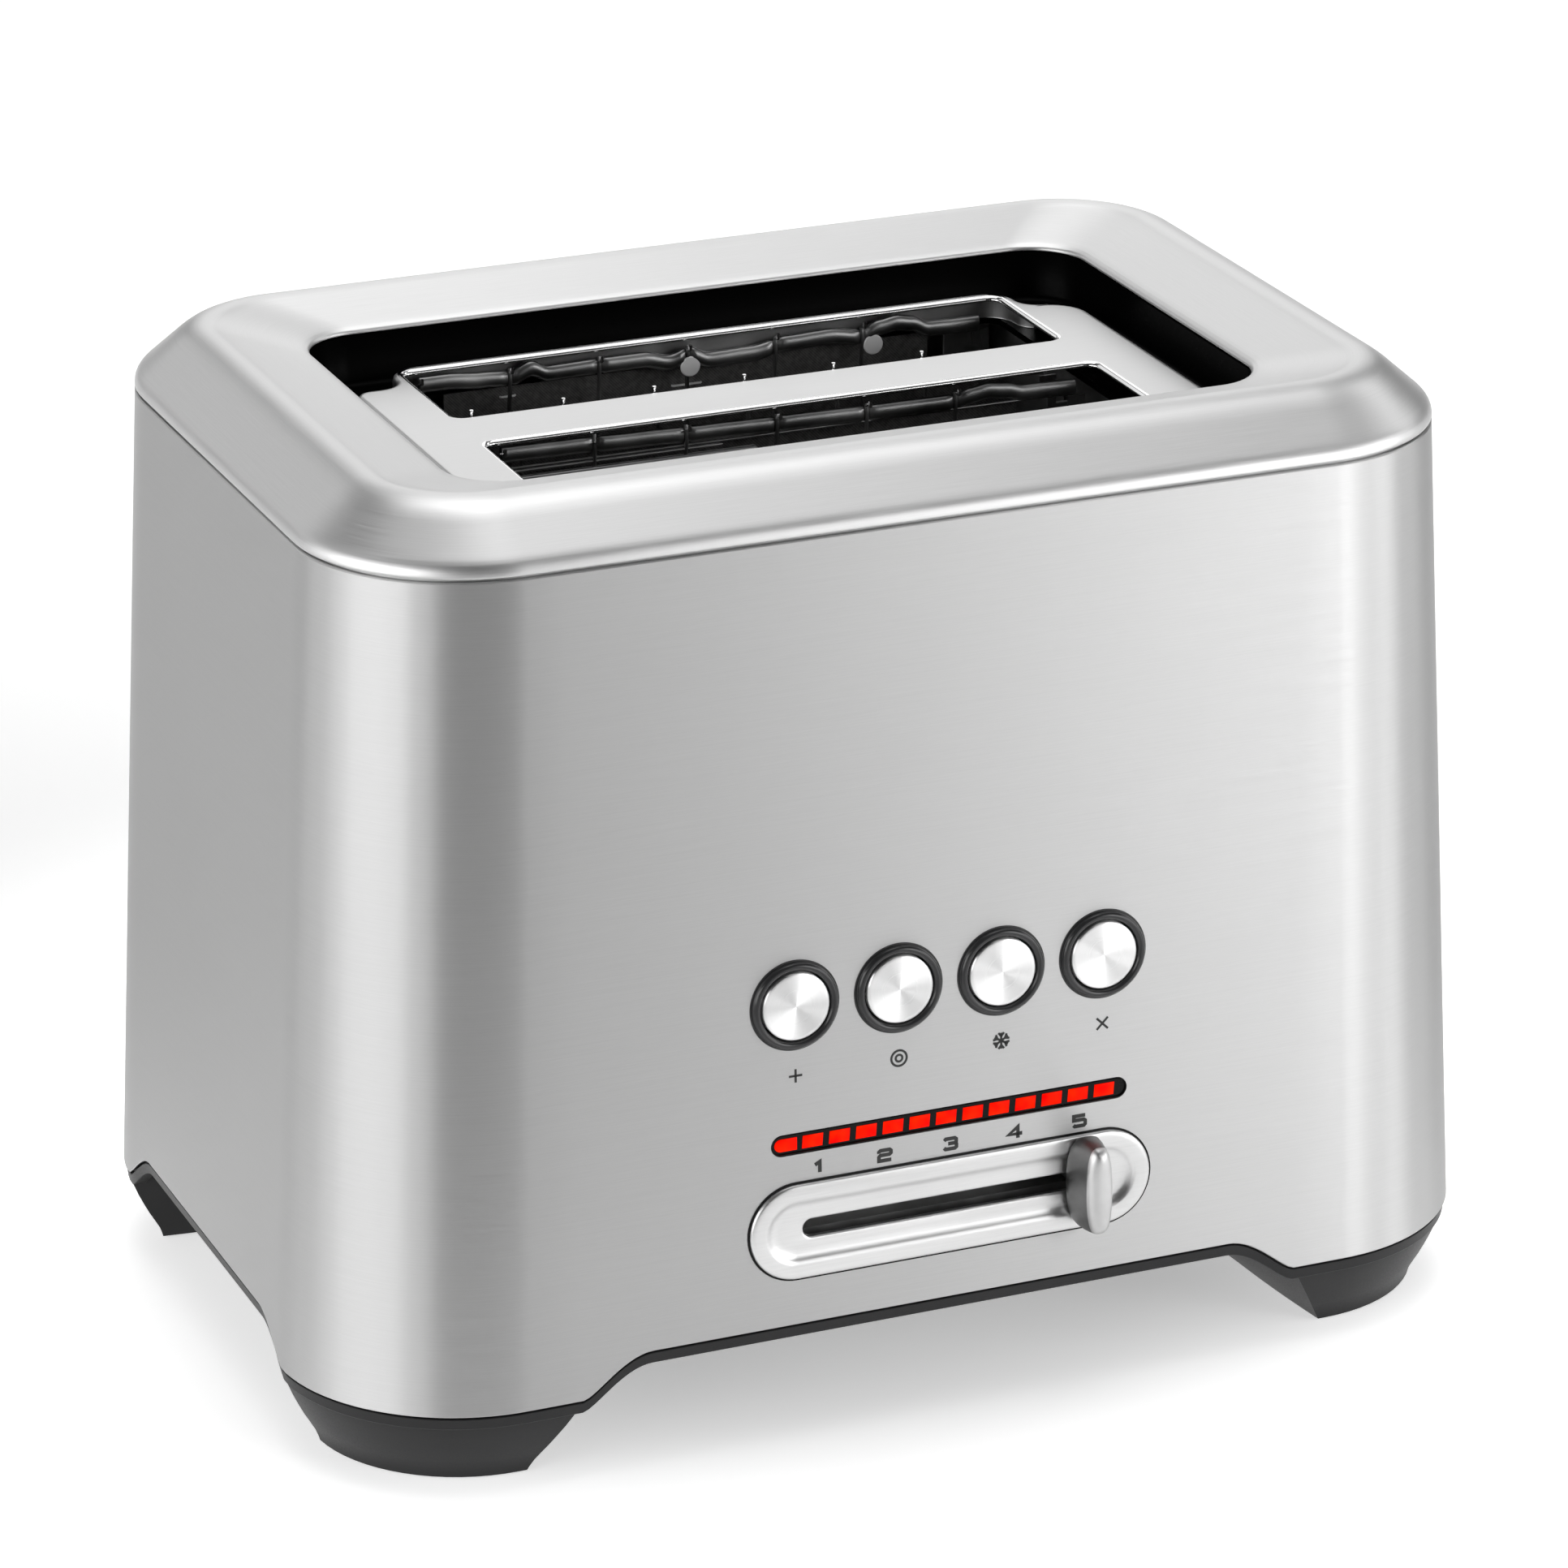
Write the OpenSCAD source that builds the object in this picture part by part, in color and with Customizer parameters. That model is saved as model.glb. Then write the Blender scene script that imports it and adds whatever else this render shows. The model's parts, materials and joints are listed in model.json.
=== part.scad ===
// Two-slice pop-up toaster, built from its separate pieces.
// Units are millimetres. +Z is up, +X runs along the long side to the lever end,
// and the control panel faces -Y. The feet stand on z = 0.

/* [Housing] */
// Length of the shell at the seam under the cap
seam_length = 253; // [245:1:262]
// Depth of the shell at the seam under the cap
seam_depth = 174; // [170:1:182]
// Corner radius of the shell at the seam
seam_corner = 36.5; // [30:0.5:40]
// Height of the seam above the table
seam_z = 199.3; // [197:0.1:202]
// Length of the shell at its lower edge
edge_length = 272.4; // [265:0.2:280]
// Depth of the shell at its lower edge
edge_depth = 184.2; // [180:0.2:190]
// Corner radius of the shell at its lower edge
edge_corner = 41.7; // [36:0.1:44]
// Height of the shell's lower edge at the feet
edge_z = 18; // [16:0.5:20]
// Height of the shell's lower edge between the feet
arch_z = 26.5; // [25:0.5:28]
// Thickness of the sheet that the shell is bent from
shell_t = 0.8; // [0.6:0.1:1]

/* [Top] */
// Height of the crest that runs round the cap
crest_z = 212.8; // [211:0.1:215]
// Height of the rim of the cap's opening
rim_z = 208.3; // [207:0.1:209]
// Length of the cap's opening
opening_length = 182.2; // [180:0.2:186]
// Depth of the cap's opening
opening_depth = 108; // [106:0.5:110]
// Corner radius of the cap's opening
opening_corner = 13; // [10:0.5:15]
// Height of the slot plate's upper face
plate_z = 201.2; // [200:0.1:202]
// Length of a bread slot
slot_length = 140.8; // [138:0.2:142]
// Width of a bread slot
slot_width = 34.1; // [32:0.1:35]
// Distance from the middle of the toaster to the middle of a bread slot
slot_offset = 25.85; // [25.5:0.05:26.2]

/* [Lever] */
// Travel of the lever from rest down to its latch
lever_travel = 75; // [70:1:75]
// Extra lift of the lever above its rest place
lever_lift = 12; // [8:1:12]
// Height of the middle of the lever knob at rest
lever_z = 157; // [155:0.5:158]
// Reach of the lever knob past the middle of the toaster
lever_reach = 146.7; // [145:0.1:150]
// Width of the lever knob
lever_width = 50; // [40:1:56]

/* [Controls] */
// Height of the row of push buttons
button_z = 98.8; // [97:0.1:101]
// Distance between neighbouring push buttons
button_pitch = 23.4; // [22:0.1:24]
// Radius of a push button's metal cap
button_r = 7.6; // [7:0.1:7.8]
// Outer radius of the ring round a push button
ring_r = 9.8; // [9.4:0.1:10.4]
// Travel of a push button
button_travel = 1.5; // [1:0.1:1.5]
// Height of the light bar
bar_z = 67.7; // [66:0.1:69]
// Length of the light bar
bar_length = 81.7; // [80:0.1:84]
// Height of the browning slider
slider_z = 47.9; // [46:0.1:49]
// Length of the slider plate
slider_length = 92.7; // [90:0.1:95]
// Height of the slider plate
slider_height = 22.1; // [20:0.1:23]
// Place of the slider knob at rest, right of the middle
knob_x = 31.2; // [31:0.1:32]
// Travel of the slider knob
knob_travel = 60; // [50:1:60]

/* [Hidden] */

$fn = 64;
corner_steps = 10;
eps = 0.01;
gap = 0.3;

wall_lean_y = atan((edge_depth - seam_depth) / 2 / (seam_z - edge_z));
knob_out = 10.5;
tray_reach = 97;

// The row's origin is the bottom centre of the whole box, which the lever knob, the slider
// knob and the tray's lip stretch past the shell.
slider_reach = half_y(slider_z) + knob_out * cos(wall_lean_y);
origin_x = (lever_reach - edge_length / 2) / 2;
origin_y = (tray_reach - slider_reach) / 2;

panel_x = 1.25;
base_top = 26.5;
base_bottom = 24;
skirt_z = 23.2;
arch_foot_x = 82.4;
arch_foot_y = 54;
arch_run = 15.9;
pad_pos = [109, 70];
pad_r = 6.9;
gland_pos = [98, 46];
end_plate_x = 74;
end_plate_t = 1;
chamber_top = 194;
rack_z = 125;
carriage_x = 80;
rod_pos = [88, -16];
rod_r = 3;
spring_pos = [88, 16];
flange_z = 189;
guard_inner_y = 7.5;
guard_outer_y = 43.75;
guard_wire_r = 0.55;
wire_pitch = 20.85;
lip_depth = 2.4;
guard_travel = 5;
guard_ratio = guard_travel / lever_travel;
board_y = 48.4;
board_t = 0.8;
magnet_pos = [105, 0];
bar_half_h = 2.05;
cell_pitch = 6.15;
cell_count = 13;

function mix(a, b, t) = a + (b - a) * t;
function lean(z) = (seam_z - z) / (seam_z - edge_z);
function half_x(z) = mix(seam_length, edge_length, lean(z)) / 2;
function half_y(z) = mix(seam_depth, edge_depth, lean(z)) / 2;
function corner_r(z) = mix(seam_corner, edge_corner, lean(z));
function smooth(t) = t * t * (3 - 2 * t);

// Points of a rounded rectangle, counter-clockwise from above
function ring(hx, hy, r, z) = [for (q = [0:3]) for (s = [0:corner_steps])
    let (sx = (q == 0 || q == 3) ? 1 : -1, sy = q < 2 ? 1 : -1, a = 90 * (q + s / corner_steps))
    [sx * (hx - r) + r * cos(a), sy * (hy - r) + r * sin(a), z]];

// Ring that follows the shell's outside at a height, moved inwards by a distance
function wall_ring(z, inset) = ring(half_x(z) - inset, half_y(z) - inset, corner_r(z) - inset, z);

module placed() {
    translate([-origin_x, -origin_y, 0]) children();
}

function side_faces(count, n, rows) = [for (k = rows, j = [0:n - 1])
    let (up = (k + 1) % count, next = (j + 1) % n)
    each [[k * n + j, up * n + j, up * n + next], [k * n + j, up * n + next, k * n + next]]];

// Closed frame through rings that run up its outside, inwards, and down its inside
module ring_frame(rings) {
    n = len(rings[0]);
    polyhedron(points = [for (r = rings) each r],
        faces = side_faces(len(rings), n, [0:len(rings) - 1]), convexity = 8);
}

// Solid through rings from its bottom to its top
module ring_solid(rings) {
    n = len(rings[0]);
    count = len(rings);
    polyhedron(points = [for (r = rings) each r],
        faces = concat(side_faces(count, n, [0:count - 2]), [[for (j = [0:n - 1]) j]],
            [[for (j = [n - 1:-1:0]) (count - 1) * n + j]]), convexity = 4);
}

module rounded_rect(length, depth, r) {
    translate([-length / 2 + r, -depth / 2 + r]) square([length - 2 * r, depth - 2 * r]);
    for (sx = [-1, 1]) translate([sx * (length / 2 - r), 0])
        square([2 * r, depth - 2 * r], center = true);
    for (sy = [-1, 1]) translate([0, sy * (depth / 2 - r)])
        square([length - 2 * r, 2 * r], center = true);
    for (sx = [-1, 1], sy = [-1, 1])
        translate([sx * (length / 2 - r), sy * (depth / 2 - r)]) circle(r = r);
}

module rounded_block(length, depth, r, z0, z1) {
    translate([0, 0, z0]) linear_extrude(z1 - z0) rounded_rect(length, depth, r);
}

module stadium(length, height) {
    square([length - height, height], center = true);
    for (s = [-1, 1]) translate([s * (length - height) / 2, 0]) circle(r = height / 2);
}

module block(x0, x1, y0, y1, z0, z1) {
    translate([x0, y0, z0]) cube([x1 - x0, y1 - y0, z1 - z0]);
}

// Local +Z points out of the leaning front wall at the given place
module on_front(x, z) {
    translate([x, -half_y(z), z]) rotate([90 - wall_lean_y, 0, 0]) children();
}

// Runs through every push button's place
module at_buttons() {
    for (i = [0:3]) on_front(button_x(i), button_z) children();
}

function button_x(i) = panel_x + (i - 1.5) * button_pitch;

// ---------- housing ----------

// Outline of the gap under the shell between two feet, in the plane of a wall. It rises
// quickly from the foot and rounds off slowly into its level top.
module arch_outline(foot_half) {
    rise = [for (s = [0:8]) let (t = s / 8)
        [foot_half - arch_run * t, mix(edge_z - eps, arch_z, smooth(pow(t, 0.75)))]];
    polygon(concat([[-foot_half, -1], [foot_half, -1]], rise,
        [for (i = [len(rise) - 1:-1:0]) [-rise[i][0], rise[i][1]]]));
}

module arch_cuts() {
    rotate([90, 0, 0]) linear_extrude(250, center = true) arch_outline(arch_foot_x);
    rotate([90, 0, 90]) linear_extrude(350, center = true) arch_outline(arch_foot_y);
}

module lever_slot(width, extra) {
    z0 = lever_z - 6 - lever_travel - extra;
    z1 = lever_z + 6 + lever_lift + extra;
    block(110, 150, -width / 2, width / 2, z0, z1);
}

module outer_shell() placed() color("silver") difference() {
    ring_frame([wall_ring(edge_z, 0), wall_ring(seam_z, 0),
        wall_ring(seam_z, shell_t), wall_ring(edge_z, shell_t)]);
    arch_cuts();
    at_buttons() translate([0, 0, -5]) cylinder(r = 9, h = 10);
    on_front(panel_x, bar_z) translate([0, 0, -5]) linear_extrude(10)
        stadium(bar_length, 2 * bar_half_h + 1);
    on_front(panel_x, slider_z) translate([0, 0, -5]) linear_extrude(10)
        stadium(slider_length - 3, slider_height - 3);
    lever_slot(9, 4);
    block(-61.5, 61.5, 60, 120, 20, 36);
    translate([gland_pos[0], 100, gland_pos[1]]) rotate([90, 0, 0]) cylinder(r = 6.3, h = 30);
}

// Ring of the cap between the shell's outline (t = 0) and the opening's outline (t = 1)
function cap_ring(t, z) = ring(mix(seam_length, opening_length, t) / 2,
    mix(seam_depth, opening_depth, t) / 2, mix(seam_corner, opening_corner, t), z);
function band_ring(inset, z) = ring(seam_length / 2 - inset, seam_depth / 2 - inset,
    seam_corner - inset * 0.7, z);

module top_cap() placed() color("gainsboro")
    ring_frame([band_ring(0.4, seam_z + 0.6), band_ring(0, seam_z + 1.3),
        band_ring(0, seam_z + 3.6), band_ring(1.4, seam_z + 6.9), band_ring(4.2, seam_z + 10),
        band_ring(7.8, crest_z - 1.4), band_ring(11, crest_z - 0.3), band_ring(13.5, crest_z),
        band_ring(17, crest_z - 0.4), cap_ring(0.97, rim_z + 0.1), cap_ring(1, rim_z - 0.9),
        cap_ring(1, rim_z - 4.3), cap_ring(0.9, rim_z - 4.3), cap_ring(0.55, rim_z - 1),
        band_ring(9, seam_z + 6), band_ring(3.9, seam_z + 2.4), band_ring(3.9, seam_z - 3.5),
        band_ring(1.3, seam_z - 3.5), band_ring(1.3, seam_z + 0.6)]);

module plate_outline(grow) {
    rounded_rect(slot_length + 6 + 2 * grow, 2 * (slot_offset + slot_width / 2 + 3 + grow), 7 + grow);
    rounded_rect(169 + 2 * grow, 67 + 2 * grow, 9 + grow);
}

module well_liner() placed() color("black") {
    difference() {
        rounded_block(opening_length + 3, opening_depth + 3, opening_corner + 1.5,
            chamber_top, rim_z - 4.3);
        rounded_block(opening_length, opening_depth, opening_corner, chamber_top + 1.5, rim_z);
        rounded_block(slot_length + 2.4, 2 * (slot_offset + slot_width / 2) + 5.4, 3,
            chamber_top - 1, rim_z);
    }
}

module slots(grow, z0, z1) {
    for (s = [-1, 1]) translate([0, s * slot_offset, 0])
        rounded_block(slot_length + 2 * grow, slot_width + 2 * grow, 4 + grow, z0, z1);
}

module slot_plate() placed() color("whitesmoke") difference() {
    union() {
        translate([0, 0, plate_z - 0.8]) linear_extrude(0.8) plate_outline(0);
        translate([0, 0, chamber_top + 1.5]) linear_extrude(plate_z - chamber_top - 1.5)
            difference() {
                plate_outline(0);
                plate_outline(-0.5);
            }
        slots(0.8, plate_z - lip_depth, plate_z - 0.4);
    }
    slots(0, plate_z - 10, plate_z + 1);
}

// Outline of one foot at a height, in the first quadrant. Its corner arc starts where the
// foot's inner side meets it.
function foot_ring(z, inset, taper) =
    let (hx = half_x(max(z, edge_z)) - inset, hy = half_y(max(z, edge_z)) - inset,
        r = corner_r(max(z, edge_z)) - inset, x0 = arch_foot_x + taper, y0 = arch_foot_y + taper,
        start = asin(max(0, (y0 - hy + r) / r)))
    concat([[x0, y0, z]],
        [for (s = [0:corner_steps]) let (a = mix(start, 90, s / corner_steps))
            [hx - r + r * cos(a), hy - r + r * sin(a), z]], [[x0, hy, z]]);

module foot() {
    difference() {
        ring_solid([foot_ring(1, 8.3, 9), foot_ring(3, 7.2, 8), foot_ring(edge_z - 0.4, 1.1, 0.8),
            foot_ring(skirt_z, 1.3, 0)]);
        translate([pad_pos[0], pad_pos[1], -1]) cylinder(r = pad_r + 0.1, h = 4);
    }
}

module in_corners() {
    for (mx = [0, 1], my = [0, 1]) mirror([mx, 0, 0]) mirror([0, my, 0]) children();
}

// Flat-sided collar or slab just inside the shell's lower edge
module inside_shell(inset, z0, z1) {
    rounded_block(2 * (half_x(z1) - inset), 2 * (half_y(z1) - inset), corner_r(z1) - inset, z0, z1);
}

module base_moulding() placed() color("dimgray") difference() {
    union() {
        inside_shell(1.1, skirt_z, base_top);
        difference() {
            inside_shell(1.1, base_top - 1, 36);
            inside_shell(3.5, base_top - 2, 36.5);
        }
    }
    inside_shell(3.5, skirt_z - 1, base_bottom);
    block(-61.5, 61.5, 60, 120, base_top, 40);
    for (sx = [-1, 1], sy = [-1, 1]) translate([sx * 82, sy * 42, 0]) {
        translate([0, 0, -1]) cylinder(r = 4, h = base_bottom - 1);
        cylinder(r = 2, h = 40);
    }
    for (i = [-5:5]) translate([i * 10, -72, base_bottom - 1])
        linear_extrude(5) rotate(90) stadium(14, 4);
}

module corner_feet() placed() color("dimgray") in_corners() foot();

module foot_pads() placed() color("black") in_corners()
    translate([pad_pos[0], pad_pos[1], 0]) cylinder(r = pad_r, h = 3);

module base_screws() placed() color("silver") for (sx = [-1, 1], sy = [-1, 1])
    translate([sx * 82, sy * 42, 0]) difference() {
        union() {
            translate([0, 0, 21.5]) cylinder(r = 3.4, h = base_bottom - 1 - 21.5);
            translate([0, 0, 22]) cylinder(r = 1.75, h = 9);
        }
        translate([0, 0, 21]) for (a = [0, 90]) rotate(a) cube([4, 0.8, 2.4], center = true);
    }

// Its flange stands just clear of the leaning rear wall
module cord_gland() placed() color("black")
    translate([gland_pos[0], half_y(gland_pos[1]) + 0.35, gland_pos[1]]) rotate([90, 0, 0])
        difference() {
            union() {
                translate([0, 0, -3]) cylinder(r = 9, h = 3);
                cylinder(r = 6, h = 14.3);
            }
            translate([0, 0, -4]) cylinder(r = 3.6, h = 20);
        }

// Trim that follows the leaning end wall round the lever slot
module lever_bezel() placed() color("black") difference() {
    rotate([90, 0, 0]) linear_extrude(15, center = true)
        polygon([for (e = [[68, 0], [68, 1], [183, 1], [183, 0]]) [half_x(e[0]) + e[1], e[0]]]);
    lever_slot(6, 2);
}

// ---------- chassis and heaters ----------

module end_plate_cuts() {
    for (s = [-1, 1]) {
        block(-5, 5, s * slot_offset - 2.2, s * slot_offset + 2.2,
            rack_z - lever_travel - 6, rack_z + lever_lift + 3);
        for (z = [184, 50]) {
            block(-5, 5, s * 9.6 - 4.3, s * 9.6 + 4.3, z - 0.4, z + 3.4);
            block(-5, 5, s * 42.1 - 4.3, s * 42.1 + 4.3, z - 0.4, z + 3.4);
        }
    }
}

module end_plate() {
    difference() {
        union() {
            block(0, end_plate_t, -56, 56, base_top, chamber_top);
            block(0, 14, -56, 56, base_top, base_top + 1);
        }
        end_plate_cuts();
        for (sy = [-1, 1]) translate([82 - end_plate_x, sy * 42, 20]) cylinder(r = 1.8, h = 10);
    }
}

module chassis_left() placed() color("lightgray") translate([-end_plate_x, 0, 0])
    mirror([1, 0, 0]) end_plate();

module chassis_right() placed() color("lightgray") difference() {
    union() {
        translate([end_plate_x, 0, 0]) end_plate();
        block(end_plate_x + 0.5, 96, -26, 26, flange_z, flange_z + 1);
        block(end_plate_x + 0.5, 96, -26, -6, base_top, base_top + 1);
    }
    translate([rod_pos[0], rod_pos[1], 0]) cylinder(r = rod_r + 0.05, h = 250);
}

module reflector() {
    difference() {
        block(-73.9, 73.9, -0.3, 0.3, 37, 192);
        for (i = [-3:3]) translate([i * 20, 0, 60]) rotate([90, 0, 0])
            linear_extrude(3, center = true) rotate(90) stadium(24, 5);
    }
}

module reflector_front() placed() color("lightgray") translate([0, -54, 0]) reflector();
module reflector_rear() placed() color("lightgray") translate([0, 54, 0]) reflector();

module heater_board() {
    block(-71, 71, -board_t / 2, board_t / 2, 58, 180);
    for (z = [44, 170]) block(-73.8, 73.8, -board_t / 2, board_t / 2, z, z + 14);
    block(-59, 56, -board_t / 2, board_t / 2, 183, 193);
}

module heater_board_front() placed() color("darkkhaki") translate([0, -board_y, 0]) heater_board();
module heater_board_centre() placed() color("darkkhaki") heater_board();
module heater_board_rear() placed() color("darkkhaki") translate([0, board_y, 0]) heater_board();

// Flat ribbon that loops round a board, with a link from each turn to the next
module heater_ribbon() {
    ribbon_t = 0.25;
    y_in = board_t / 2;
    turns = 9;
    pitch = 13;
    for (i = [0:turns - 1]) translate([0, 0, 62 + i * pitch]) difference() {
        block(-71.3, 71.3, -y_in - ribbon_t, y_in + ribbon_t, 0, 2.4);
        block(-71.05, 71.05, -y_in, y_in, -1, 4);
    }
    for (i = [0:turns - 2]) let (side = i % 2 == 0 ? 1 : -1)
        translate([side * 60, 0, 62 + i * pitch])
            block(-1.2, 1.2, y_in, y_in + ribbon_t, 0, pitch + 2.4);
}

module heater_ribbon_front() placed() color("gray") translate([0, -board_y, 0]) heater_ribbon();
module heater_ribbon_centre() placed() color("gray") heater_ribbon();
module heater_ribbon_rear() placed() color("gray") translate([0, board_y, 0]) heater_ribbon();

// ---------- fixed works ----------

module guide_rod() placed() color("silver") translate([rod_pos[0], rod_pos[1], base_top])
    cylinder(r = rod_r, h = flange_z + 3 - base_top);

module electromagnet() placed() color("saddlebrown")
    translate([magnet_pos[0], magnet_pos[1], base_top]) {
        block(-9, 9, -8, 8, 0, 3);
        block(-4, 4, -4, 4, 2, rack_z - lever_travel + 1 - gap - base_top);
        translate([0, 0, 4]) cylinder(r = 8, h = 16);
    }

module mains_switch() placed() color("ivory") {
    block(96, 112, 18, 34, base_top, 44);
    for (y = [21, 31]) block(98, 110, y - 0.4, y + 0.4, 43.5, 48);
}

module power_board() placed() color("darkgreen") block(112, 113.6, -62, -20, base_top, 112);

module relay() placed() color("navy") block(98, 112, -52, -36, 60, 88);

module terminal_block() placed() color("ivory") difference() {
    block(84, 108, 56, 72, base_top, 42);
    for (x = [90, 96, 102]) translate([x, 64, 36]) cylinder(r = 2, h = 10);
}

// The boards stand parallel to the leaning front wall
module control_board() placed() color("darkgreen") on_front(panel_x, 75)
    block(-50, 50, -40, 36, -13.6, -12);

module tact_switches() placed() color("dimgray") at_buttons() {
    block(-3, 3, -3, 3, -12, -7.5);
    translate([0, 0, -7.6]) cylinder(r = 1.7, h = 1.2);
}

module slide_potentiometer() placed() color("gray") on_front(panel_x, slider_z) difference() {
    block(-44, 44, -4.5, 4.5, -12, -4.6);
    block(-38, 38, -1.8, 1.8, -10, 0);
}

// ---------- controls ----------

module button_rings() placed() color("#2b2b2d") at_buttons() rotate_extrude()
    polygon([[button_r + 0.1, -3], [8.9, -3], [8.9, 0], [ring_r, 0], [ring_r, 0.6],
        [ring_r - 0.5, 1.1], [button_r + 0.7, 1.1], [button_r + 0.1, 0.6]]);

module push_button(i) {
    on_front(button_x(i), button_z) {
        translate([0, 0, -2]) cylinder(r = button_r, h = 3.2);
        translate([0, 0, -4.6]) cylinder(r = 3, h = 3);
    }
}

module extend_button() placed() color("lightgray") push_button(0);
module bagel_button() placed() color("lightgray") push_button(1);
module frozen_button() placed() color("lightgray") push_button(2);
module cancel_button() placed() color("lightgray") push_button(3);

function cell_x(i) = -bar_length / 2 + 4 + i * cell_pitch;

module light_bar_window() placed() color("black") on_front(panel_x, bar_z) difference() {
    union() {
        translate([0, 0, -3]) linear_extrude(3.2) stadium(bar_length, 2 * bar_half_h);
        translate([0, 0, -5]) linear_extrude(4) stadium(bar_length + 4, 2 * bar_half_h + 5);
    }
    for (i = [0:cell_count - 1]) translate([cell_x(i), 0, 0])
        block(-2.7, 2.7, -1.5, 1.5, -6, 1);
}

module light_cells() placed() color("red") on_front(panel_x, bar_z)
    for (i = [0:cell_count - 1]) translate([cell_x(i), 0, 0])
        block(-2.65, 2.65, -1.45, 1.45, -5, 0);

module slider_plate() placed() color("silver") on_front(panel_x, slider_z) difference() {
    union() {
        translate([0, 0, -1.6]) linear_extrude(1.6)
            stadium(slider_length - 3.4, slider_height - 3.4);
        linear_extrude(1.4) stadium(slider_length, slider_height);
    }
    translate([0, 0, 0.6]) linear_extrude(3) stadium(slider_length - 6, slider_height - 6);
    translate([0, 0, -3]) linear_extrude(6) stadium(67.4, 4);
}

module oval(width, height) {
    polygon([for (a = [0:7.5:352.5]) [width / 2 * cos(a), height / 2 * sin(a)]]);
}

module slider_knob() placed() color("gray") {
    on_front(knob_x, slider_z) {
        block(-1.6, 1.6, -1.2, 1.2, -9, 5);
        translate([0, 0, knob_out - 4.5]) rotate([0, 90, 0])
            linear_extrude(6, center = true) oval(9, 20.5);
    }
}

// ---------- carriage ----------

module return_spring() placed() color("silver") {
    turns = 12;
    steps = 12;
    sides = 6;
    coil_r = 4;
    wire_r = 0.6;
    z0 = rack_z + 6 + gap + wire_r;
    rise = flange_z - gap - wire_r - z0;
    count = turns * steps;
    rings = [for (k = [0:count]) let (a = 360 * k / steps, z = z0 + rise * k / count)
        [for (j = [0:sides - 1]) let (b = 360 * j / sides)
            [(coil_r + wire_r * cos(b)) * cos(a), (coil_r + wire_r * cos(b)) * sin(a),
                z + wire_r * sin(b)]]];
    translate([spring_pos[0], spring_pos[1], 0]) mirror([0, 1, 0]) ring_solid(rings);
}

module carriage() placed() color("lightgray") difference() {
    union() {
        block(carriage_x, carriage_x + 1.5, -34, 34, rack_z - 8, rack_z + 6);
        block(carriage_x, carriage_x + 1.5, -5, 5, rack_z + 5, lever_z + 6);
        block(carriage_x + 1, spring_pos[0] + 4, 12, 20, rack_z + 4, rack_z + 6);
        block(carriage_x + 1, magnet_pos[0] + 8, -6, 6, rack_z + 4, rack_z + 6);
        block(carriage_x + 1, rod_pos[0], rod_pos[1] - 3, rod_pos[1] + 3, rack_z - 8, rack_z + 6);
        translate([rod_pos[0], rod_pos[1], rack_z - 15]) cylinder(r = 5.5, h = 28);
    }
    translate([rod_pos[0], rod_pos[1], 0]) cylinder(r = rod_r + 0.05, h = 250);
}

module keeper_plate() placed() color("gray")
    block(magnet_pos[0] - 8, magnet_pos[0] + 8, -7, 7, rack_z + 1, rack_z + 4);

module lever_arm() placed() color("silver") {
    block(carriage_x + 1.5, 137, -1.25, 1.25, lever_z - 5, lever_z + 5);
    block(carriage_x + 1.5, carriage_x + 2.5, -5, 5, lever_z - 6, lever_z + 6);
}

module lever_knob() placed() color("gray") difference() {
    translate([(135.2 + lever_reach) / 2, 0, lever_z]) rotate([90, 0, 0]) union() {
        linear_extrude(lever_width - 6, center = true) oval(lever_reach - 135.2, 13);
        linear_extrude(lever_width, center = true) oval(lever_reach - 137.2, 11);
    }
    block(130, 137, -1.25, 1.25, lever_z - 5, lever_z + 5);
}

module bread_rack(side) {
    translate([0, side * slot_offset, rack_z]) {
        block(-78, carriage_x, -1.6, 1.6, -3, 0);
        for (i = [-4:4]) translate([i * 15, 0, 0]) {
            block(-1.2, 1.2, -8, 8, -1.6, 0);
            for (s = [-1, 1]) block(-1.2, 1.2, s * 7.4 - 0.6, s * 7.4 + 0.6, -1.6, 3);
        }
    }
}

module bread_rack_front() placed() color("silver") bread_rack(-1);
module bread_rack_rear() placed() color("silver") bread_rack(1);

// Wire guard in a plane across the toaster, with tabs that slide in the end plates
module bread_guard(y) {
    translate([0, y, 0]) {
        block(-66.5, 66.5, -guard_wire_r, guard_wire_r, 192, 197.8);
        block(-69, 69, -guard_wire_r, guard_wire_r, 190, 193.6);
        block(-69, 69, -guard_wire_r, guard_wire_r, 44.5, 48);
        for (s = [-1, 1]) {
            block(s * 68 - 1, s * 68 + 1, -guard_wire_r, guard_wire_r, 45, 192);
            for (z = [184, 50]) block(s * 72.5 - 4.5, s * 72.5 + 4.5, -guard_wire_r, guard_wire_r,
                z, z + 3);
        }
        for (i = [-2:3]) translate([i * wire_pitch - 3.65, 0, 46])
            cylinder(r = guard_wire_r, h = 150);
    }
}

module guard_front_outer() placed() color("dimgray") bread_guard(-guard_outer_y);
module guard_front_inner() placed() color("dimgray") bread_guard(-guard_inner_y);
module guard_rear_inner() placed() color("dimgray") bread_guard(guard_inner_y);
module guard_rear_outer() placed() color("dimgray") bread_guard(guard_outer_y);

module crumb_tray() placed() color("silver") {
    difference() {
        block(-60, 60, -55, 89, base_top + gap, 34);
        block(-59.2, 59.2, -54.2, 88.2, base_top + gap + 0.8, 40);
    }
    block(-61, 61, 89, half_y(30), base_top + gap, 35.5);
    block(-20, 20, half_y(30) - eps, tray_reach, base_top + gap, base_top + gap + 2.5);
}

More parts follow.
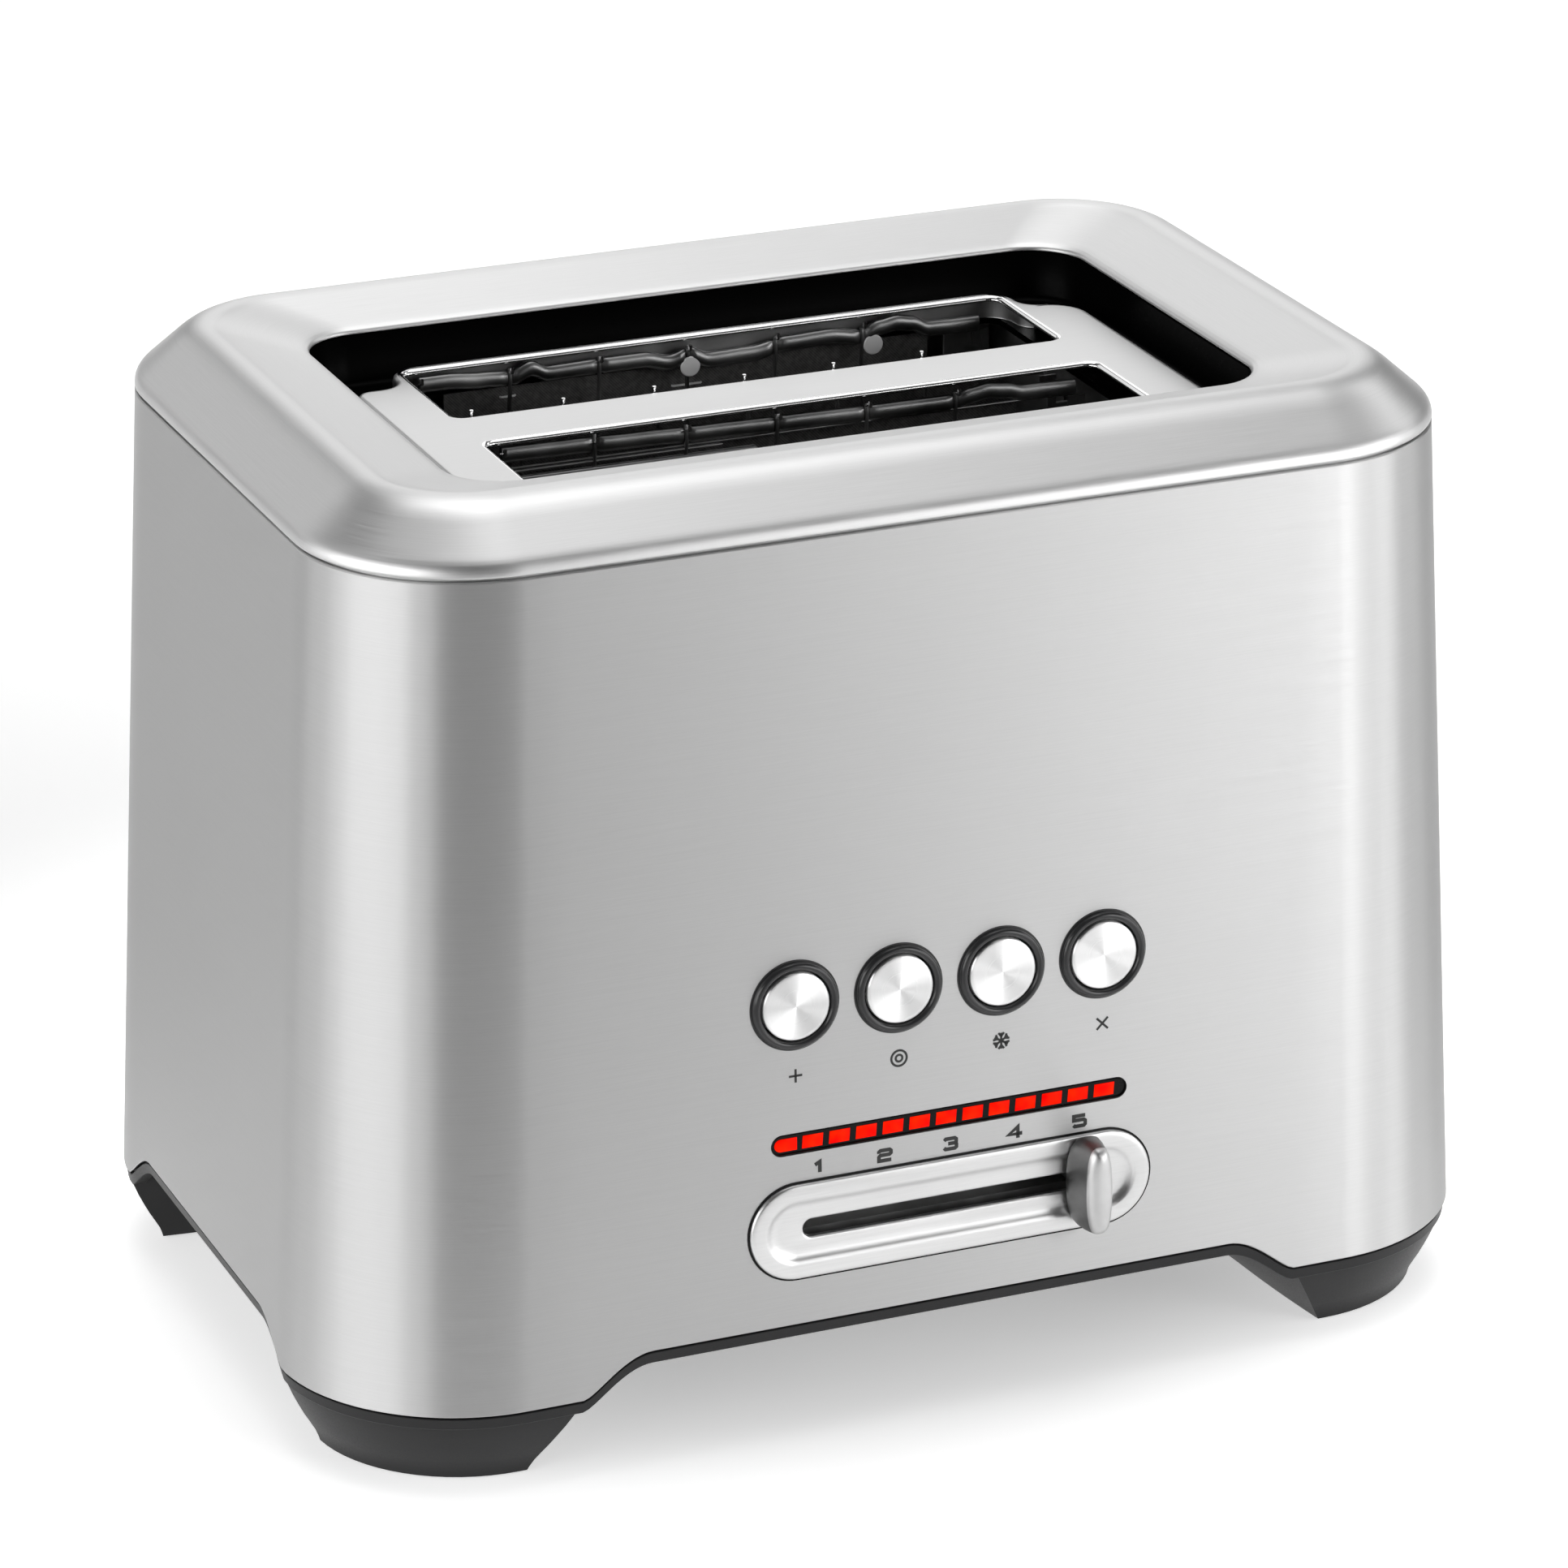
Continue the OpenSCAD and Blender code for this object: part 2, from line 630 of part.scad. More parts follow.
outer_shell();
top_cap();
well_liner();
slot_plate();
base_moulding();
corner_feet();
foot_pads();
base_screws();
cord_gland();
lever_bezel();
chassis_left();
chassis_right();
reflector_front();
reflector_rear();
heater_board_front();
heater_board_centre();
heater_board_rear();
heater_ribbon_front();
heater_ribbon_centre();
heater_ribbon_rear();
guide_rod();
electromagnet();
mains_switch();
power_board();
relay();
terminal_block();
control_board();
tact_switches();
slide_potentiometer();
button_rings();
light_bar_window();
light_cells();
slider_plate();
return_spring();
carriage();
keeper_plate();
lever_arm();
lever_knob();
bread_rack_front();
bread_rack_rear();
guard_front_outer();
guard_front_inner();
guard_rear_inner();
guard_rear_outer();
slider_knob();
extend_button();
bagel_button();
frozen_button();
cancel_button();
crumb_tray();
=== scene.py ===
import json
from math import asin, atan, copysign, cos, pi, radians, sin

import bmesh
import bpy
from mathutils import Matrix, Vector


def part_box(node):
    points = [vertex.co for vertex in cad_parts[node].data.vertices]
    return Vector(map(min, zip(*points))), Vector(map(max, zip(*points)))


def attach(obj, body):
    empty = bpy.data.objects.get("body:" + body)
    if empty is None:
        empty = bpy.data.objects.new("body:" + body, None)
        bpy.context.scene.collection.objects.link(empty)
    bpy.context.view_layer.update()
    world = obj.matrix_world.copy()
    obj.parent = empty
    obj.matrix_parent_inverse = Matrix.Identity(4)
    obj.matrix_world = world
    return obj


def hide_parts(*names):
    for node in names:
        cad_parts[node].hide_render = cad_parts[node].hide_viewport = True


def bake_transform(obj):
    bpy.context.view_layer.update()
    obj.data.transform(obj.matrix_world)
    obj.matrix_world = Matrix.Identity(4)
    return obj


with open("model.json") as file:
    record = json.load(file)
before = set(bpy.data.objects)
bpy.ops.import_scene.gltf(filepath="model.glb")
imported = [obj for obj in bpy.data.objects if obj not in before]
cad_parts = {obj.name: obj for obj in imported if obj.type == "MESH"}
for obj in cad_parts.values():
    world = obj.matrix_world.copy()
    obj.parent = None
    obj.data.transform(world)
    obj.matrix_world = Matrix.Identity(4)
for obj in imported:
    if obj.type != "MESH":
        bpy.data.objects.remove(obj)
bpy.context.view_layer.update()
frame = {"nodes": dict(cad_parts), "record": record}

# ---------- places, read from the frame ----------

MM = 0.001


def box_mm(node):
    """A CAD node's box in millimetres, in the housing's own coordinates."""
    low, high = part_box(node)
    return (low - CENTRE) / MM, (high - CENTRE) / MM


def middle_mm(node):
    low, high = box_mm(node)
    return (low + high) / 2


shell_low, shell_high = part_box("outer_shell")
CENTRE = Vector(((shell_low.x + shell_high.x) / 2, (shell_low.y + shell_high.y) / 2, 0))

shell_low, shell_high = box_mm("outer_shell")
EDGE_HALF_X = shell_high.x
EDGE_HALF_Y = shell_high.y
EDGE_Z = shell_low.z
SEAM_Z = shell_high.z
PLATE_Z = box_mm("slot_plate")[1].z

# ---------- sizes in millimetres ----------

SEAM_HALF_X = 126.5
SEAM_HALF_Y = 87.0
SEAM_R = 36.5
EDGE_R = 41.7
SHELL_T = 0.8
EDGE_ROUND = 0.25
ARCH_Z = 26.5
ARCH_RUN = 15.9
ARCH_FADE = 14
ARCH_FOOT_X = 82.4
ARCH_FOOT_Y = 54.0
RIM_Z = 208.3
OPENING_HALF_X = 91.1
OPENING_HALF_Y = 54.0
OPENING_R = 13.0
SLOT_HALF_X = 70.4
SLOT_HALF_Y = 17.05
SLOT_R = 2.5
SLOT_OFFSET = 25.85
WALL_LEAN = atan((EDGE_HALF_Y - SEAM_HALF_Y) / (SEAM_Z - EDGE_Z))
PANEL_X = 1.25
BUTTON_X = [PANEL_X + (i - 1.5) * 23.4 for i in range(4)]
BUTTON_Z = 98.8
BAR_Z = 67.7
BAR_LENGTH = 81.7
BAR_HEIGHT = 4.5
FIRST_CELL = -BAR_LENGTH / 2 + 3.4
CELL_COUNT = 13
CELL_STEP = 6.09
CELL_HALF = 2.3
CELL_HALF_H = 1.4
SLIDER_Z = 47.9
SLIDER_LENGTH = 92.7
SLIDER_HEIGHT = 22.1
KNOB_X = 31.2
NUMERAL_X = -28.8
NUMERAL_STEP = 14.96
NUMERAL_Z = 61.6
SIGN_Z = BUTTON_Z - 15.8
# holes in the shell: a length and a height, a radius or half a width
BUTTON_HOLE_R = 9.0
BAR_HOLE = (BAR_LENGTH, 4.9)
SLIDER_HOLE = (89.7, 19.1)
LEVER_SLOT_HALF = 4.5
GLAND_HOLE_R = 6.3
# the base: the height whose outline its walls keep, its level floor and its top
WALL_LEVEL = 23.2
FLOOR_LOW = 24.0
FLOOR_HIGH = 26.5
BASE_TOP = 36.0


def mix(a, b, t):
    return a + (b - a) * t


def lean(z):
    return (SEAM_Z - z) / (SEAM_Z - EDGE_Z)


def half_x(z):
    return mix(SEAM_HALF_X, EDGE_HALF_X, lean(z))


def half_y(z):
    return mix(SEAM_HALF_Y, EDGE_HALF_Y, lean(z))


def corner_r(z):
    return mix(SEAM_R, EDGE_R, lean(z))


def smooth(t):
    t = max(0.0, min(1.0, t))
    return t * t * (3 - 2 * t)


# ---------- materials ----------


NOISE_LOW = 0.3
NOISE_HIGH = 0.7


class Nodes:
    """A material's or world's node tree, with short calls to add and join nodes."""

    def __init__(self, owner, shader="Principled BSDF"):
        owner.use_nodes = True
        self.owner = owner
        self.tree = owner.node_tree
        self.shader = self.tree.nodes[shader]

    def fill(self, node, values):
        """Sets or links inputs, whose spaces are written _, and sets what isn't an input."""
        for name, value in values.items():
            socket = node.inputs.get(name.replace("_", " "))
            if socket is None:
                setattr(node, name, value)
            elif isinstance(value, bpy.types.NodeSocket):
                self.tree.links.new(value, socket)
            else:
                socket.default_value = value

    def add(self, kind, **values):
        node = self.tree.nodes.new("ShaderNode" + kind)
        self.fill(node, values)
        return node

    def set(self, **values):
        self.fill(self.shader, values)

    def link(self, out, into):
        self.tree.links.new(out, into)

    def coords(self, kind="Object", scale=(1, 1, 1)):
        """Object or UV coordinates, stretched by a scale."""
        source = self.add("TexCoord").outputs[kind]
        return self.add("Mapping", Vector=source, Scale=scale).outputs["Vector"]

    def noise(self, vector, scale, detail=2.0, roughness=0.5):
        node = self.add("TexNoise", Vector=vector, Scale=scale, Detail=detail, Roughness=roughness)
        return node.outputs["Fac"]

    def remap(self, value, low, high):
        node = self.add("MapRange", Value=value, From_Min=NOISE_LOW, From_Max=NOISE_HIGH,
                        To_Min=low, To_Max=high)
        return node.outputs["Result"]

    def tint(self, value, dark, light, into="Base_Color", low=NOISE_LOW, high=NOISE_HIGH):
        """Colours a socket between two colours, by a value."""
        ramp = self.add("ValToRGB", Fac=value)
        for element, place, colour in zip(ramp.color_ramp.elements, (low, high), (dark, light)):
            element.position = place
            element.color = (*colour, 1)
        self.set(**{into: ramp.outputs["Color"]})
        return ramp.outputs["Color"]

    def roughen(self, value, rough, low, high):
        """Varies the roughness between two shares of itself, by a value."""
        self.set(Roughness=self.remap(value, rough * low, rough * high))

    def bump(self, height, strength, distance):
        node = self.add("Bump", Height=height, Strength=strength, Distance=distance)
        self.set(Normal=node.outputs["Normal"])

    def tangent(self, direction):
        """The grain's direction. The quarter turn blurs reflections across the grain."""
        node = self.add("Tangent", direction_type=direction, axis="Z")
        self.set(Anisotropic_Rotation=0.25, Tangent=node.outputs["Tangent"])


def material(name):
    return Nodes(bpy.data.materials.new(name))


def scaled(colour, factor):
    return tuple(c * factor for c in colour)


def grey(level):
    return (level, level, level)


def brushed(name, colour, rough, grain, anisotropic=0.6, source="Object", tangent="RADIAL"):
    """Brushed metal. grain is the noise's scale along each axis: low along the strokes."""
    m = material(name)
    m.set(Metallic=1.0, Anisotropic=anisotropic)
    strokes = m.noise(m.coords(source, grain), 1.0, 3.0, 0.6)
    clouds = m.noise(m.coords(), 9.0)
    m.roughen(strokes, rough, 0.92, 1.1)
    base = m.tint(strokes, scaled(colour, 0.955), scaled(colour, 1.03))
    stain = m.add("Mix", data_type="RGBA", blend_type="MULTIPLY")
    stain.inputs[0].default_value = 1.0
    m.link(base, stain.inputs[6])
    m.link(m.remap(clouds, 0.97, 1.0), stain.inputs[7])
    m.set(Base_Color=stain.outputs[2])
    m.bump(strokes, 0.1, 0.00003)
    m.tangent(tangent)
    return m.owner


def plastic(name, colour, rough, grain=2600.0, bump=0.15, specular=0.5):
    """Moulded plastic or rubber with a fine pebbled skin."""
    m = material(name)
    m.set(Specular_IOR_Level=specular)
    skin = m.noise(m.coords(), grain)
    m.tint(m.noise(m.coords(), 30.0), scaled(colour, 0.88), scaled(colour, 1.1))
    m.roughen(skin, rough, 0.9, 1.12)
    m.bump(skin, bump, 0.00005)
    return m.owner


def cast(name, colour, rough, grain=700.0, metallic=1.0):
    """Satin cast or galvanised metal with a mottled face."""
    m = material(name)
    m.set(Metallic=metallic)
    spots = m.noise(m.coords(), grain, 3.0)
    m.tint(m.noise(m.coords(), 60.0, 3.0), scaled(colour, 0.85), scaled(colour, 1.1))
    m.roughen(spots, rough, 0.85, 1.15)
    m.bump(spots, 0.1, 0.00004)
    return m.owner


def spun(name, colour, rough):
    """Metal turned on a lathe, with fine rings about the piece's own axis."""
    m = material(name)
    m.set(Metallic=1.0, Anisotropic=0.95)
    length = m.add("VectorMath", operation="LENGTH", Vector=m.coords("Object", (1, 1, 0)))
    rings = m.noise(length.outputs["Value"], 9000.0)
    m.roughen(rings, rough, 0.8, 1.2)
    m.tint(rings, scaled(colour, 0.93), colour)
    m.bump(rings, 0.1, 0.00003)
    m.tangent("RADIAL")
    return m.owner


def board(name, colour, dark):
    """Mica or circuit board with a woven, speckled face."""
    m = material(name)
    m.set(Roughness=0.55)
    weave = m.add("TexWave", bands_direction="DIAGONAL", Vector=m.coords(), Scale=900.0,
                  Distortion=1.0, Detail=2.0)
    both = m.add("Math", operation="MULTIPLY_ADD", Value=weave.outputs["Fac"])
    both.inputs[1].default_value = 0.35
    m.link(m.noise(m.coords(), 900.0, 3.0), both.inputs[2])
    m.tint(both.outputs[0], dark, colour, low=0.45, high=0.9)
    m.bump(both.outputs[0], 0.25, 0.0001)
    return m.owner


def wire(name, colour, dark):
    """Heat-darkened steel, browner in patches."""
    m = material(name)
    m.set(Metallic=1.0)
    heat = m.noise(m.coords(), 45.0, 3.0)
    m.tint(heat, dark, colour)
    m.roughen(heat, 1.0, 0.3, 0.45)
    return m.owner


def lit(name):
    """Red light guides that glow a little unevenly."""
    m = material(name)
    m.set(Roughness=0.3, Base_Color=(0.25, 0.0, 0.0, 1), Specular_IOR_Level=0.03, Emission_Strength=0.95)
    patches = m.noise(m.coords("Object", (300, 300, 300)), 1.0, 1.0)
    m.tint(patches, (0.9, 0.0, 0.0), (1.0, 0.02, 0.0), "Emission_Color")
    return m.owner


STEEL = grey(0.54)

# the maker of each slot's material, and what it is called with after the name
FINISHES = {
    "shell_steel": (brushed, STEEL, 0.44, (60, 60, 4200), 0.92),
    "cap_metal": (brushed, grey(0.64), 0.42, (60, 3600, 1), 0.4, "UV", "UV_MAP"),
    "liner_black": (plastic, grey(0.001), 0.3, 900.0, 0.02, 0.02),
    "plate_steel": (brushed, grey(0.58), 0.34, (60, 4200, 60), 0.3),
    "base_plastic": (plastic, (0.016, 0.016, 0.0165), 0.42, 2600.0, 0.15, 0.24),
    "pad_rubber": (plastic, grey(0.02), 0.7),
    "trim_plastic": (plastic, (0.012, 0.012, 0.013), 0.4),
    "screw_steel": (cast, grey(0.45), 0.35),
    "galvanised": (cast, grey(0.3), 0.42, 300.0),
    "mica": (board, (0.11, 0.108, 0.106), (0.045, 0.044, 0.043)),
    "ribbon": (wire, (0.35, 0.33, 0.3), (0.15, 0.12, 0.1)),
    "rod_steel": (cast, grey(0.6), 0.2),
    "magnet": (plastic, (0.3, 0.11, 0.04), 0.35, 1500.0),
    "ivory_plastic": (plastic, (0.6, 0.57, 0.47), 0.45),
    "board_green": (board, (0.02, 0.13, 0.05), (0.01, 0.07, 0.03)),
    "relay_blue": (plastic, (0.03, 0.06, 0.2), 0.3),
    "ring_gloss": (plastic, (0.022, 0.022, 0.023), 0.2, 1200.0, 0.03, 0.4),
    "button_metal": (spun, grey(0.86), 0.33),
    "window_black": (plastic, grey(0.003), 0.25, 900.0, 0.02, 0.15),
    "light_red": (lit,),
    "slider_metal": (brushed, grey(0.66), 0.34, (60, 2400, 2400), 0.2),
    "knob_metal": (cast, grey(0.56), 0.42),
    "guard_steel": (wire, grey(0.36), grey(0.13)),
    "spring_steel": (cast, grey(0.5), 0.3),
    "tray_steel": (brushed, STEEL, 0.33, (20, 2400, 2400), 0.3),
}
MATERIALS = {name: maker(name, *values) for name, (maker, *values) in FINISHES.items()}

MARKING = plastic("marking", grey(0.012), 0.5)
# polished steel, partly painted highlight: brighter than the plate's steel, for the shine along the slot
# lips and wire ends
POLISHED_AND_HIGHLIGHT = cast("polished_edge_painted_highlight", grey(0.85), 0.1)
# a darker copy of the knob's metal: painted shade for the knob's sides
KNOB_SIDE_PAINTED_SHADE = cast("knob_side_painted_shade", grey(0.2), 0.4)
RIVET = cast("rivet", grey(0.7), 0.5, metallic=0.2)


# ---------- mesh tools ----------


def front_place(x, z):
    """Local +Z points out of the leaning front wall, and local +Y up it."""
    turn = Matrix.Rotation(pi / 2 - WALL_LEAN, 4, "X")
    return Matrix.Translation(Vector((x, -half_y(z), z)) * MM) @ turn


def ring_points(hx, hy, r, corner=16, xs=None, ys=None):
    """A rounded rectangle from the middle of its rear side, counter-clockwise from above.
    xs and ys are the places of extra points along its straight sides."""
    xs = xs or [(hx - r) * t for t in (-0.5, 0.0, 0.5)]
    ys = ys or [(hy - r) * t for t in (-0.5, 0.0, 0.5)]
    arc = [pi / 2 * i / corner for i in range(corner + 1)]
    points = [(x, hy) for x in reversed(xs) if x <= 0]
    points += [(-(hx - r) - r * sin(a), hy - r + r * cos(a)) for a in arc]
    points += [(-hx, y) for y in reversed(ys)]
    points += [(-(hx - r) - r * cos(a), -(hy - r) - r * sin(a)) for a in arc]
    points += [(x, -hy) for x in xs]
    points += [(hx - r + r * sin(a), -(hy - r) - r * cos(a)) for a in arc]
    points += [(hx, y) for y in ys]
    points += [(hx - r + r * cos(a), hy - r + r * sin(a)) for a in arc]
    points += [(x, hy) for x in reversed(xs) if x > 0]
    return points


def ring(hx, hy, r, z, **extra):
    return [(x, y, z) for x, y in ring_points(hx, hy, r, **extra)]


def stadium_ring(length, height, z, steps=14):
    """A stadium outline in a local plane, counter-clockwise."""
    r = height / 2
    reach = length / 2 - r
    arc = [pi * i / steps for i in range(steps + 1)]
    right = [(reach + r * sin(a), -r * cos(a), z) for a in arc]
    left = [(-reach - r * sin(a), r * cos(a), z) for a in arc]
    return right + left


def circle_ring(r, z, steps=64):
    return [(r * cos(t), r * sin(t), z) for t in turns(steps)]


def turns(steps):
    return [2 * pi * i / steps for i in range(steps)]


def loft(rows, around=False, start=False, end=False):
    """Faces through rows of points. around joins the last row to the first; start and end
    close the first and last rows. Returns points, faces and the UV of each face corner."""
    n = len(rows[0])
    count = len(rows)
    points = [p for row in rows for p in row]
    u = [0.0]
    middle = rows[count // 2]
    for j in range(n):
        u.append(u[-1] + (Vector(middle[(j + 1) % n]) - Vector(middle[j])).length)
    v = [0.0]
    for k in range(count):
        step = sum((Vector(rows[(k + 1) % count][j]) - Vector(rows[k][j])).length for j in range(0, n, 7))
        v.append(v[-1] + step / len(range(0, n, 7)))
    faces = []
    uvs = []
    for k in range(count if around else count - 1):
        a, b = k * n, (k + 1) % count * n
        for j in range(n):
            t = (j + 1) % n
            faces.append((a + j, a + t, b + t, b + j))
            uvs.append([(u[j], v[k]), (u[j + 1], v[k]), (u[j + 1], v[k + 1]), (u[j], v[k + 1])])
    if start:
        faces.append(tuple(reversed(range(n))))
        uvs.append([p[:2] for p in reversed(rows[0])])
    if end:
        faces.append(tuple(range((count - 1) * n, count * n)))
        uvs.append([p[:2] for p in rows[-1]])
    return points, faces, uvs


def solid(rows):
    """A loft with both ends closed."""
    return loft(rows, start=True, end=True)


def join(*shapes):
    """Several (points, faces, uvs) as one."""
    points, faces, uvs = [], [], []
    for shape in shapes:
        base = len(points)
        points += list(shape[0])
        faces += [tuple(i + base for i in f) for f in shape[1]]
        uvs += shape[2]
    return points, faces, uvs


def turned(profile, steps):
    """Rows round the local Z axis, from a profile of radii and heights."""
    return [circle_ring(r, z, steps) for r, z in profile]


def placed(shape, place):
    return [tuple((place @ (Vector(p) * MM)) / MM) for p in shape[0]], shape[1], shape[2]


def tube(path, r, sides=10):
    """A round tube along a path, with flat ends."""
    rows = []
    points = [Vector(p) for p in path]
    normal = None
    for i, p in enumerate(points):
        ahead = (points[min(i + 1, len(points) - 1)] - points[max(i - 1, 0)]).normalized()
        if normal is None:
            normal = ahead.orthogonal().normalized()
        normal = (normal - ahead * normal.dot(ahead)).normalized()
        side = ahead.cross(normal)
        rows.append([tuple(p + (normal * cos(t) + side * sin(t)) * r) for t in turns(sides)])
    return solid(rows)


def block(x0, x1, y0, y1, z0, z1):
    """A plain block; bevels are added with the object's modifiers."""
    lower = [(x0, y0, z0), (x1, y0, z0), (x1, y1, z0), (x0, y1, z0)]
    upper = [(x0, y0, z1), (x1, y0, z1), (x1, y1, z1), (x0, y1, z1)]
    return solid([lower, upper])


def ribbon(path, width, thick, closed=False):
    """A flat stroke along a path in the local XY plane, with mitred joints."""
    count = len(path)
    rows = []
    for i, p in enumerate(path):
        before = Vector(path[(i - 1) % count] if closed else path[max(i - 1, 0)])
        after = Vector(path[(i + 1) % count] if closed else path[min(i + 1, count - 1)])
        here = Vector(p)
        a = (here - before).normalized() if (here - before).length > 0 else (after - here).normalized()
        b = (after - here).normalized() if (after - here).length > 0 else a
        side = Vector((-(a + b).y, (a + b).x)).normalized()
        reach = width / 2 / max(0.5, side.dot(Vector((-a.y, a.x))))
        left, right = here + side * reach, here - side * reach
        rows.append([(right.x, right.y, 0), (left.x, left.y, 0), (left.x, left.y, thick),
                     (right.x, right.y, thick)])
    return loft(rows, around=closed, start=not closed, end=not closed)


def make(name, shape, slot, replaces=(), body="housing", place=None, material=None, sharp=35, bevel=0.0):
    """Adds a piece in the housing's coordinates, in millimetres, and ties it to its CAD body.
    A piece with no body is left untied."""
    points, faces, uvs = shape
    mesh = bpy.data.meshes.new(name)
    mesh.from_pydata([Vector(p) * MM for p in points], [], faces)
    layer = mesh.uv_layers.new(name="grain")
    flat = [uv for face in uvs for uv in face]
    for loop, uv in zip(layer.data, flat):
        loop.uv = (uv[0] * MM, uv[1] * MM)
    clean(mesh)
    mesh.materials.append(material or MATERIALS[slot])
    piece = bpy.data.objects.new(name, mesh)
    bpy.context.scene.collection.objects.link(piece)
    piece.matrix_world = Matrix.Translation(CENTRE) @ (place or Matrix.Identity(4))
    if bevel:
        add_bevel(piece, bevel)
    soften(mesh, sharp)
    if body:
        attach(piece, body)
    if replaces:
        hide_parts(*replaces)
    return piece


def clean(mesh):
    """Joins points that lie together, and turns every face outwards."""
    work = bmesh.new()
    work.from_mesh(mesh)
    bmesh.ops.remove_doubles(work, verts=work.verts, dist=1e-6)
    bmesh.ops.recalc_face_normals(work, faces=work.faces)
    work.to_mesh(mesh)
    work.free()


def soften(mesh, angle):
    """Smooth faces, with edges above an angle kept sharp."""
    work = bmesh.new()
    work.from_mesh(mesh)
    for face in work.faces:
        face.smooth = True
    for edge in work.edges:
        if len(edge.link_faces) == 2:
            edge.smooth = edge.calc_face_angle(0) < radians(angle)
    work.to_mesh(mesh)
    work.free()


def add_bevel(piece, width):
    modifier = piece.modifiers.new("bevel", "BEVEL")
    modifier.width = width * MM
    modifier.segments = 3
    modifier.limit_method = "ANGLE"
    modifier.angle_limit = radians(40)
    modifier.harden_normals = True


def cut(piece, *cutters):
    """Cuts holes with throwaway solids, each given as a shape and a place."""
    for shape, place in cutters:
        mesh = bpy.data.meshes.new("cutter")
        mesh.from_pydata([Vector(p) * MM for p in shape[0]], [], shape[1])
        clean(mesh)
        tool = bpy.data.objects.new("cutter", mesh)
        bpy.context.scene.collection.objects.link(tool)
        tool.matrix_world = Matrix.Translation(CENTRE) @ (place or Matrix.Identity(4))
        modifier = piece.modifiers.new("cut", "BOOLEAN")
        modifier.object = tool
        modifier.solver = "EXACT"
        bpy.context.view_layer.update()
        graph = bpy.context.evaluated_depsgraph_get()
        result = bpy.data.meshes.new_from_object(piece.evaluated_get(graph))
        piece.modifiers.clear()
        piece.data = result
        bpy.data.objects.remove(tool)
    soften(piece.data, 25)


# ---------- shell ----------


def arch_lift(along, foot):
    """Height of the shell's lower edge at a place along a wall."""
    t = (foot - abs(along)) / ARCH_RUN
    return mix(EDGE_Z, ARCH_Z, smooth(t ** 0.75 if t > 0 else 0.0))


def shell_low_z(x, y):
    on_end = abs(x) > EDGE_HALF_X - 3 and abs(y) < ARCH_FOOT_Y
    on_side = abs(y) > EDGE_HALF_Y - 3 and abs(x) < ARCH_FOOT_X
    if on_end:
        return arch_lift(y, ARCH_FOOT_Y)
    if on_side:
        return arch_lift(x, ARCH_FOOT_X)
    return EDGE_Z


def shell_row(z, inset, follow):
    """One row round the shell. follow is how much of the arches it takes on."""
    steps = [ARCH_RUN * i / 12 for i in range(13)]
    xs = [ARCH_FOOT_X - s for s in steps] + [ARCH_FOOT_X - ARCH_RUN - 22, ARCH_FOOT_X - ARCH_RUN - 44]
    ys = [min(ARCH_FOOT_Y, EDGE_HALF_Y - EDGE_R - 0.02) - s for s in steps[1:]] + [20.0]
    xs = sorted([-x for x in xs] + [0.0] + xs)
    ys = sorted([-y for y in ys] + [0.0] + ys)
    flat = ring_points(half_x(z) - inset, half_y(z) - inset, corner_r(z) - inset, 24, xs, ys)
    outer = ring_points(half_x(z), half_y(z), corner_r(z), 24, xs, ys)
    row = []
    for (x, y), place in zip(flat, outer):
        rise = (shell_low_z(*place) - EDGE_Z) * follow
        height = z + rise
        if abs(x) > 100:
            x *= half_x(height) / half_x(z)
        if abs(y) > 60:
            y *= half_y(height) / half_y(z)
        row.append((x, y, height))
    return row


def build_shell():
    """The wrap-around skin: up its outer face, over the seam and down its inner face."""
    fade = EDGE_Z + ARCH_FADE
    outside = [shell_row(EDGE_Z + EDGE_ROUND, 0, 1), shell_row(EDGE_Z + 2, 0, 1), shell_row(fade, 0, 0.1)]
    outside += [shell_row(z, 0, 0) for z in (60, 110, 160, SEAM_Z - EDGE_ROUND)]
    inside = [shell_row(SEAM_Z, EDGE_ROUND, 0), shell_row(SEAM_Z, SHELL_T, 0), shell_row(110, SHELL_T, 0),
              shell_row(fade, SHELL_T, 0.1), shell_row(EDGE_Z + 2, SHELL_T, 1),
              shell_row(EDGE_Z, SHELL_T, 1), shell_row(EDGE_Z, EDGE_ROUND, 1)]
    shell = make("shell_wrap", loft(outside + inside, around=True), "shell_steel", ["outer_shell"])
    cut(shell, *shell_holes())


def shell_holes():
    """The buttons', light bar's, slider's, lever's, tray's and gland's holes."""
    through = (-6, 6)
    button = solid([circle_ring(BUTTON_HOLE_R, z) for z in through])
    holes = [(button, front_place(x, BUTTON_Z)) for x in BUTTON_X]
    for (length, height), z in ((BAR_HOLE, BAR_Z), (SLIDER_HOLE, SLIDER_Z)):
        rows = [stadium_ring(length, height, out) for out in through]
        holes.append((solid(rows), front_place(PANEL_X, z)))
    low, high = box_mm("lever_bezel")
    holes.append((block(118, 150, -LEVER_SLOT_HALF, LEVER_SLOT_HALF, low.z + 2, high.z - 2), None))
    low, high = box_mm("crumb_tray")
    holes.append((block(low.x - 0.5, high.x + 0.5, 70, 120, 10, high.z + 0.5), None))
    middle = middle_mm("cord_gland")
    rows = [[(middle.x + x, y, middle.z - z) for x, z, _ in circle_ring(GLAND_HOLE_R, 0)]
            for y in (70, 110)]
    holes.append((solid(rows), None))
    return holes


# ---------- top ----------


